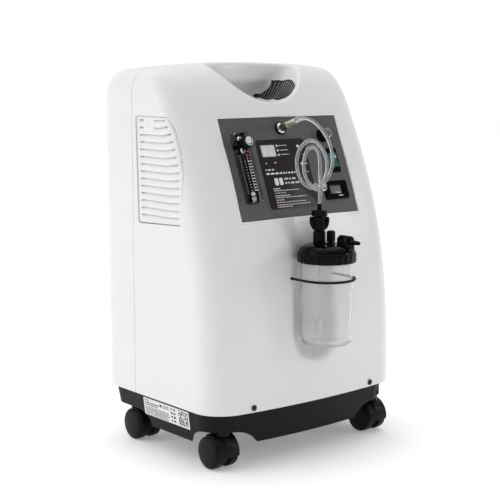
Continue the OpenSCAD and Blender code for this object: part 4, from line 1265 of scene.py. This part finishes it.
def make_relief():
    at = move(22, -162, 0)
    shape = Shape()
    rings = [circle(3.95, 72, 316), circle(3.95, 72, 330.5), circle(6.2, 72, 330.5)]
    for z, r, depth in ((331, 6.7, 0.1), (332, 6.7, 0.5), (343.6, 6.7, 0.5), (344.6, 6.6, 0.1)):
        rings.append(fluted(r, z, depth, 18, 72))
    rings += [circle(6.2, 72, 345.6), circle(5.6, 72, 346.4), circle(4.8, 72, 346.9),
        circle(2.2, 72, 346.9), circle(1.8, 72, 346.3), circle(0, 72, 346.3)]
    shape.skin(rings, at)
    piece(shape, "relief_valve_plunger", "relief_plunger", [SATIN],
        ["relief_valve"], 30)


ELBOW = move(16, -191, 335)


def make_elbow():
    """The bottle's outlet: a round body with an arched tab in front, and a barb."""
    shape = Shape()
    shape.turn([(1.5, -17), (4, -17), (4, -4.98), (6.4, -4.98), (6.5, -4), (6.5, 3.2),
        (5.2, 5.4), (0, 5.6)], ELBOW, n=48)
    forward = ELBOW @ spin(90, "X")
    shape.turn([(0, 19), (5.4, 19), (5.4, 20.8), (4.4, 21.4), (3.2, 21.6), (4.1, 22.2),
        (3.2, 26), (4.1, 26.6), (3.2, 30.4), (3.2, 35.4), (2.8, 37.6), (2.2, 38.6), (1.8, 38.9),
        (1.8, 21), (0, 21)], forward, n=48)
    arch = [(8.5 * math.cos(t), 0.5 + 8.5 * math.sin(t)) for t in np.linspace(0, math.pi, 24)]
    outline = [(8.5, -16)] + arch + [(-8.5, -16)]
    rings = []
    for out, inset in ((-1, 0.8), (-0.8, 0.3), (-0.3, 0), (19.3, 0), (19.8, 0.3), (20, 0.8)):
        rings.append([Vector((x * (1 - inset / 8.5), y * (1 - inset / 17), out))
            for x, y in outline])
    shape.skin(rings, forward)
    piece(shape, "outlet_elbow_fitting", "cabinet", [BLACK_GLOSS_AND_SHADE],
        ["outlet_elbow"], 32)


def make_strap():
    r = STRAP_X
    half = [Vector((r * math.cos(t), BOTTLE_Y - r * math.sin(t), STRAP_Z))
        for t in np.linspace(0, math.pi, 49)]
    start = [Vector((r, y, STRAP_Z)) for y in (-135.5, -142, -150, -160, -170)]
    end = [Vector((-p.x, p.y, p.z)) for p in reversed(start)]
    shape = Shape()
    shape.sweep(start + half + end, 1.95, n=16)
    piece(shape, "bottle_strap_band", "cabinet", [STRAP], ["bottle_strap"])


make_jar()
make_lid()
make_inlet()
make_wing_nut()
make_relief()
make_elbow()
make_strap()


# === Base ===

BASE_LOW, BASE_TOP, BASE_INSET, BASE_DRAFT = 34, 100, 5, 9
DECK_Z = 64
SWIVEL_YS = (-120, 78)
CASTER_X = 155
ARCH = ((44, 34), (41.5, 43), (38, 47), (33, 50.5), (27, 53.4), (14, 56))
FRONT_ARCH = ((104, 34), (106, 35), (109, 38), (113, 42.5), (118, 46.5), (124, 50), (132, 53),
    (140, 55), (150, 56))


def corner(x, y, r, quarter, n):
    """Points of a quarter circle about (x, y), after its first; quarters count from +x."""
    turns = np.linspace(quarter * math.pi / 2, (quarter + 1) * math.pi / 2, n)[1:]
    return [(x + r * math.cos(t), y + r * math.sin(t)) for t in turns]


def plan_line(inset):
    """Points round the base at a distance in from the shells' outline."""
    half = HALF_W - BASE_INSET - inset
    back = SHELL_BACK - BASE_INSET - inset
    rf, rr = 45 - inset, 30 - inset
    front = -SHELL_BACK - CROWN + BASE_INSET + inset
    start, rear = front + CROWN + rf, back - rr
    points = [(t * (half - rf), front + CROWN * t * t) for t in np.linspace(-1, 1, 161)]
    points += corner(half - rf, start, rf, -1, 31)
    points += [(half, y) for y in np.linspace(start, rear, 141)[1:]]
    points += corner(half - rr, rear, rr, 0, 21)
    points += [(x, back) for x in np.linspace(half - rr, -half + rr, 161)[1:]]
    points += corner(-half + rr, rear, rr, 1, 21)
    points += [(-half, y) for y in np.linspace(rear, start, 141)[1:]]
    points += corner(-half + rf, start, rf, 2, 31)[:-1]
    return np.array(points)


def skirt_low(x, y):
    """Height of the skirt's lower edge: it arches over the casters at each corner."""
    front = float(np.interp(abs(x), *zip(*FRONT_ARCH)))
    way = y - SWIVEL_YS[0] if y < 0 else SWIVEL_YS[1] - y
    reach, height = zip(*reversed(ARCH))
    side = float(np.interp(way, reach, height)) if way < 44 else BASE_LOW
    return min(front, side)


def make_base():
    low = [skirt_low(x, y) for x, y in plan_line(0)]
    size_x, size_y = HALF_W - BASE_INSET, SHELL_BACK - BASE_INSET + 4
    rings = []
    for rise, inset in ((None, 0), (4, 0), (1.2, 0), (0.4, 0.35), (0, 1.2), (0, 2.4), (1, 3),
            (None, 3)):
        ring = []
        for (x, y), z0 in zip(plan_line(inset), low):
            z = BASE_TOP - 0.5 if rise is None else z0 + rise
            draw = BASE_DRAFT * (BASE_TOP - z) / (BASE_TOP - BASE_LOW)
            ring.append(Vector((x * (1 - draw / size_x), y * (1 - draw / size_y), z)))
        rings.append(ring)
    shape = Shape()
    shape.skin(rings, loop=True)
    deck = [(x * 0.955, y * 0.945) for x, y in plan_line(2.6)[::3]]
    shape.prism(deck, DECK_Z, DECK_Z + 4)
    for x in (-CASTER_X, CASTER_X):
        for y in SWIVEL_YS:
            at = move(x, y, 0)
            shape.turn([(5.6, 61.9), (12.4, 61.9), (13, 62.6), (13, 83.4), (12.4, 84),
                (5.6, 84)], at, n=40)
    for x in np.linspace(-80, 80, 5):
        shape.slab(2.4, 262, 50, DECK_Z + 0.5, 1, 0.4, move(x, -4, 0))
    piece(shape, "base_skirt", "cabinet", [BLACK_BASE], ["base"], 28)


make_base()


# === Nameplate and screws ===

PLATE_W, PLATE_H, PLATE_Y, PLATE_Z = 118, 28, -13, 66.2


def nameplate_place():
    """The middle of the plate on the leaning left side of the base, looking out of it."""
    lean = math.atan(BASE_DRAFT / (BASE_TOP - BASE_LOW))
    drop = (PLATE_Z - BASE_TOP) / math.cos(lean)
    return (move(-HALF_W + BASE_INSET, PLATE_Y, BASE_TOP) @ Matrix.Rotation(-lean, 4, "Y")
        @ move(-0.02, 0, drop)
        @ Matrix(((0, 0, -1, 0), (-1, 0, 0, 0), (0, 1, 0, 0), (0, 0, 0, 1))))


def make_nameplate():
    """A pale plate with generic bars, blocks and a random pattern in place of its print."""
    at = nameplate_place()
    shape = Shape()
    shape.slab(PLATE_W, PLATE_H, 0, 0.36, 1, 0.08, at)
    ink = np.random.RandomState(41)

    def mark(x, y, w, h):
        shape.slab(w, h, 0.34, 0.42, 0.12, 0.01, at @ move(x, y, 0), 1, 1)

    def line(x, y, length, height):
        end = x + length
        while x < end:
            w = height * (0.9 + 1.4 * ink.rand())
            mark(x + w / 2, y, w, height)
            x += w + height * 0.55

    for row in ((-56, 10.4, 8, 2.1), (-56, 6.4, 38, 2.4), (-56, 3.0, 32, 1.9)):
        line(*row)
    mark(-13.5, 8.4, 5, 4.4)
    line(-8, 9.6, 14, 1.5)
    line(-8, 6.6, 17, 1.5)
    for i in range(5):
        line(-56, -0.8 - i * 2.7, 18 + 9 * ink.rand(), 1.5)
        line(-33.5, -0.8 - i * 2.7, 34 + 6 * ink.rand(), 1.5)
    for row in range(4):
        for col in range(2):
            mark(15 + col * 7.2, 9.4 - row * 6.2, 3 + 2.2 * ink.rand(), 2.6 + 1.6 * ink.rand())
    size, cells = 1.4, 17
    for i, j in np.argwhere(ink.rand(cells, cells) > 0.5).tolist():
        mark(33.4 + i * size, -11.2 + j * size, size * 0.98, size * 0.98)
    piece(shape, "nameplate_label", "cabinet", [STICKER, INK], ["nameplate"])


SCREW_X, SCREW_Y, SCREW_Z = 120, -151.4, 93


def make_screws():
    shape = Shape()
    for x in (-SCREW_X, SCREW_X):
        at = move(x, SCREW_Y, SCREW_Z) @ spin(90, "X")
        shape.turn([(0, -10), (1.8, -10), (1.85, 0), (4.3, 0), (4.6, 0.3), (4.5, 0.9),
            (4.0, 1.35), (3.2, 1.6), (1.6, 1.65), (1.2, 1.0), (0, 0.9)], at, n=40)
        # A near-black cross on each head: painted shade of its cross recess.
        for turn in (0, 90):
            cross = at @ spin(turn + 20, "Z")
            shape.slab(4.4, 0.9, 1.5, 1.67, 0.3, 0.02, cross, 1, 2)
    piece(shape, "shell_screw_heads", "cabinet", [SCREW, DARK_BACK_AND_SHADE],
        ["shell_screws"], 30)


make_nameplate()
make_screws()


# === Casters ===

WHEEL_R, WHEEL_GAP, TRAIL = 25, 12, 10
WHEEL_YS = {"front": -110, "rear": 88}


def make_wheel(end, side_name, side, place, out):
    """One domed wheel; out is the way its face looks along x."""
    at = (move(side * CASTER_X + out * WHEEL_GAP / 2, WHEEL_YS[end], WHEEL_R)
        @ spin(out * 90, "Y"))
    shape = Shape()
    shape.turn([(3.1, 1.2), (6, 1.2), (6.6, 0.4), (23, 0.1), (24.2, 0.35), (24.8, 1), (25, 2),
        (25, 9.8), (24.8, 11.6), (24.2, 13.2), (23.3, 14.2), (22.6, 14.5), (22.4, 14.0),
        (22.0, 13.9), (21.7, 14.5), (20.8, 15), (17, 15.8), (12, 16.5), (6, 16.9), (0, 17)], at,
        n=96)
    shape.turn([(3.1, 1.2), (3.1, 13), (0, 13)], at, n=32)
    name = f"{end}_{side_name}_{place}"
    piece(shape, f"{name}_disc_wheel", f"{name}_wheel", [NYLON],
        [f"wheel_{end}_{side_name}_{place}"], 28)


def hood_ring(angle, half=19.0):
    """Cross-section of the hood at an angle back from straight up over the axle."""
    edge = [(half - 0.2, 25.9), (half, 26.3), (half, 27), (half - 0.5, 27.7), (half - 1.6, 28)]
    outline = edge + [(-x, r) for x, r in reversed(edge)]
    s, c = math.sin(angle), math.cos(angle)
    return [Vector((x, -r * s, WHEEL_R + r * c)) for x, r in outline]


def make_caster(end, side_name, side):
    at = move(side * CASTER_X, WHEEL_YS[end], 0)
    swivel = at @ move(0, -TRAIL, 0)
    shape = Shape()
    angles = np.radians(np.linspace(-12, 98, 34))
    rings = [hood_ring(a) for a in angles]
    rings = [hood_ring(angles[0] - 0.02, 18.2)] + rings + [hood_ring(angles[-1] + 0.02, 18.2)]
    shape.skin(rings, at)
    web = [(21 * math.cos(t), WHEEL_R + 21 * math.sin(t)) for t in np.linspace(-0.83, 3.97, 40)]
    across = at @ ALONG_X
    shape.prism(web, -5.4, 5.4, across)
    bridge = [(27, 20), (27.4, 30), (26, 40), (20, 48), (12, 51.6), (0, 52.6), (-5.6, 52.2),
        (-5.6, 30), (10, 21)]
    shape.prism([(-y, z) for y, z in bridge], -5.3, 5.3, across)
    axle = at @ move(0, 0, WHEEL_R) @ spin(90, "Y")
    shape.turn([(0, -22), (2.7, -22), (3, -21.6), (3, 21.6), (2.7, 22), (0, 22)], axle, 1, 32)
    shape.turn([(0, 50), (9.4, 50.9), (10, 51.6), (10, 60.6), (9.4, 61.6), (5.5, 61.7),
        (5.5, 79.2), (4.9, 80), (0, 80)], swivel, n=40)
    piece(shape, f"{end}_{side_name}_caster_fork", f"{end}_{side_name}_caster",
        [NYLON, STEEL], [f"caster_{end}_{side_name}"], 30)


for caster_end in ("front", "rear"):
    for caster_side, caster_way in (("left", -1), ("right", 1)):
        make_caster(caster_end, caster_side, caster_way)
        make_wheel(caster_end, caster_side, caster_way, "outer", caster_way)
        make_wheel(caster_end, caster_side, caster_way, "inner", -caster_way)


# === Rear ===

def make_filter_cover():
    at = on_rear(0, FILTER_Z)
    shape = Shape()
    shape.frame((FILTER_W, FILTER_H), (FILTER_W - 34, FILTER_H - 26), 0.35, 4, 8, 4, 1.2, at)
    shape.frame((FILTER_W - 17, FILTER_H - 17), (FILTER_W - 23, FILTER_H - 23), -8, 0.5, 4, 3,
        0.2, at)
    for i in range(-10, 11):
        blade = at @ move(0, i * 8.6 + 4.3, 2.1) @ spin(-32, "X")
        shape.slab(FILTER_W - 32, 5.4, -0.75, 0.75, 0.7, 0.5, blade)
    for x in (-45, 45):
        shape.slab(2, FILTER_H - 24, 0.4, 1.6, 0.6, 0.3, at @ move(x, 0, 0))
    shape.frame((40, 12), (36, 8), 3.9, 4.0, 5, 4, 0.05,
        at @ move(0, FILTER_H / 2 - 7, 0))
    piece(shape, "rear_filter_cover", "rear_filter", [COVER], ["filter_cover"],
        30)


def make_exhaust_lips():
    """Raised lips round the exhaust slots."""
    shape = Shape()
    for i in range(EXHAUST_SLOTS):
        at = on_rear(EXHAUST_X, EXHAUST_Z + i * EXHAUST_PITCH)
        shape.frame((122.4, 7.4), (119.6, 4.6), -3.4, 0.7, 3.6, 2.2, 0.35, at)
    piece(shape, "exhaust_slot_lips", "cabinet", [WHITE])


make_filter_cover()
make_exhaust_lips()


# === CAD parts that are shown as they are ===

KEPT = {
    "control_panel": (PANEL, "panel_grey"), "filter_foam": (FOAM, "foam_grey"),
    "power_inlet": (SATIN, "black_plastic"), "breaker_button": (SATIN, "black_plastic"),
    "flowmeter_float": (CHROME, "float_steel"),
    "compressor_housing": (CAST, "cast_aluminium"), "compressor_heads": (CAST, "cast_aluminium"),
    "compressor_shaft": (STEEL, "bright_steel"), "compressor_mounts": (RUBBER, "mount_rubber"),
    "fan_frame": (SATIN, "black_plastic"), "fan_rotor": (SATIN, "black_plastic"),
    "cooling_coil": (COPPER, "coil_copper"), "sieve_beds": (CAST, "cast_aluminium"),
    "product_tank": (CAST, "cast_aluminium"), "valve_block": (CAST, "cast_aluminium"),
    "control_board": (BOARD, "board_green"), "run_capacitor": (STEEL, "bright_steel"),
    "intake_silencer": (SATIN, "black_plastic"), "exhaust_muffler": (SATIN, "black_plastic")}

for kept_name, (kept_material, kept_slot) in KEPT.items():
    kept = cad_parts[kept_name]
    kept.data.materials.clear()
    kept.data.materials.append(kept_material)


# === Lights, floor and world ===

LIGHT_AIM = (0, 0.03, 0.3)


def make_light(name, place, size, power):
    data = bpy.data.lights.new(name, "AREA")
    data.shape, data.size, data.energy = "SQUARE", size, power
    light = bpy.data.objects.new(name, data)
    light.location = place
    light.rotation_euler = (Vector(LIGHT_AIM) - Vector(place)).to_track_quat("-Z", "Y").to_euler()
    bpy.context.scene.collection.objects.link(light)


def make_world():
    """White all round, a little dimmer in front of the object than behind it."""
    world = bpy.data.worlds.new("studio")
    bpy.context.scene.world = world
    world.use_nodes = True
    nodes, links = world.node_tree.nodes, world.node_tree.links
    coords = nodes.new("ShaderNodeTexCoord")
    split = nodes.new("ShaderNodeSeparateXYZ")
    links.new(coords.outputs["Generated"], split.inputs["Vector"])
    total = nodes.new("ShaderNodeMath")
    links.new(spread(nodes, links, split.outputs["Y"], 0.27, 0.84, -0.35, 0.3), total.inputs[0])
    links.new(spread(nodes, links, split.outputs["Z"], 0, 0.55, 0.45, 0.95), total.inputs[1])
    seen = nodes.new("ShaderNodeLightPath")
    shown = nodes.new("ShaderNodeMix")
    shown.inputs["B"].default_value = 1.05
    links.new(seen.outputs["Is Camera Ray"], shown.inputs["Factor"])
    links.new(total.outputs["Value"], shown.inputs["A"])
    links.new(shown.outputs["Result"], nodes["Background"].inputs["Strength"])
    nodes["Background"].inputs["Color"].default_value = (1, 1, 1, 1)


def make_studio():
    make_world()
    floor = Shape()
    floor.skin([circle(12, 96, -0.0005), circle(12, 96, -0.02)])
    material = surface("studio_floor", (0.93, 0.93, 0.93), 0.8, grain=0.02, depth=0.00001,
        tint=0.005, patch=0.5, Emission_Color=(1, 1, 1, 1), Emission_Strength=0.24)
    ground = floor.build("floor", [material], place=HERE)
    make_light("key_left", (-2.3, 0.9, 1.3), 1.6, 12)
    make_light("fill_right", (2.2, -2.0, 1.1), 0.6, 12)
    make_light("top", (0.2, 0.2, 2.6), 1.6, 7)
    bpy.context.scene.view_settings.view_transform = "Standard"


make_studio()
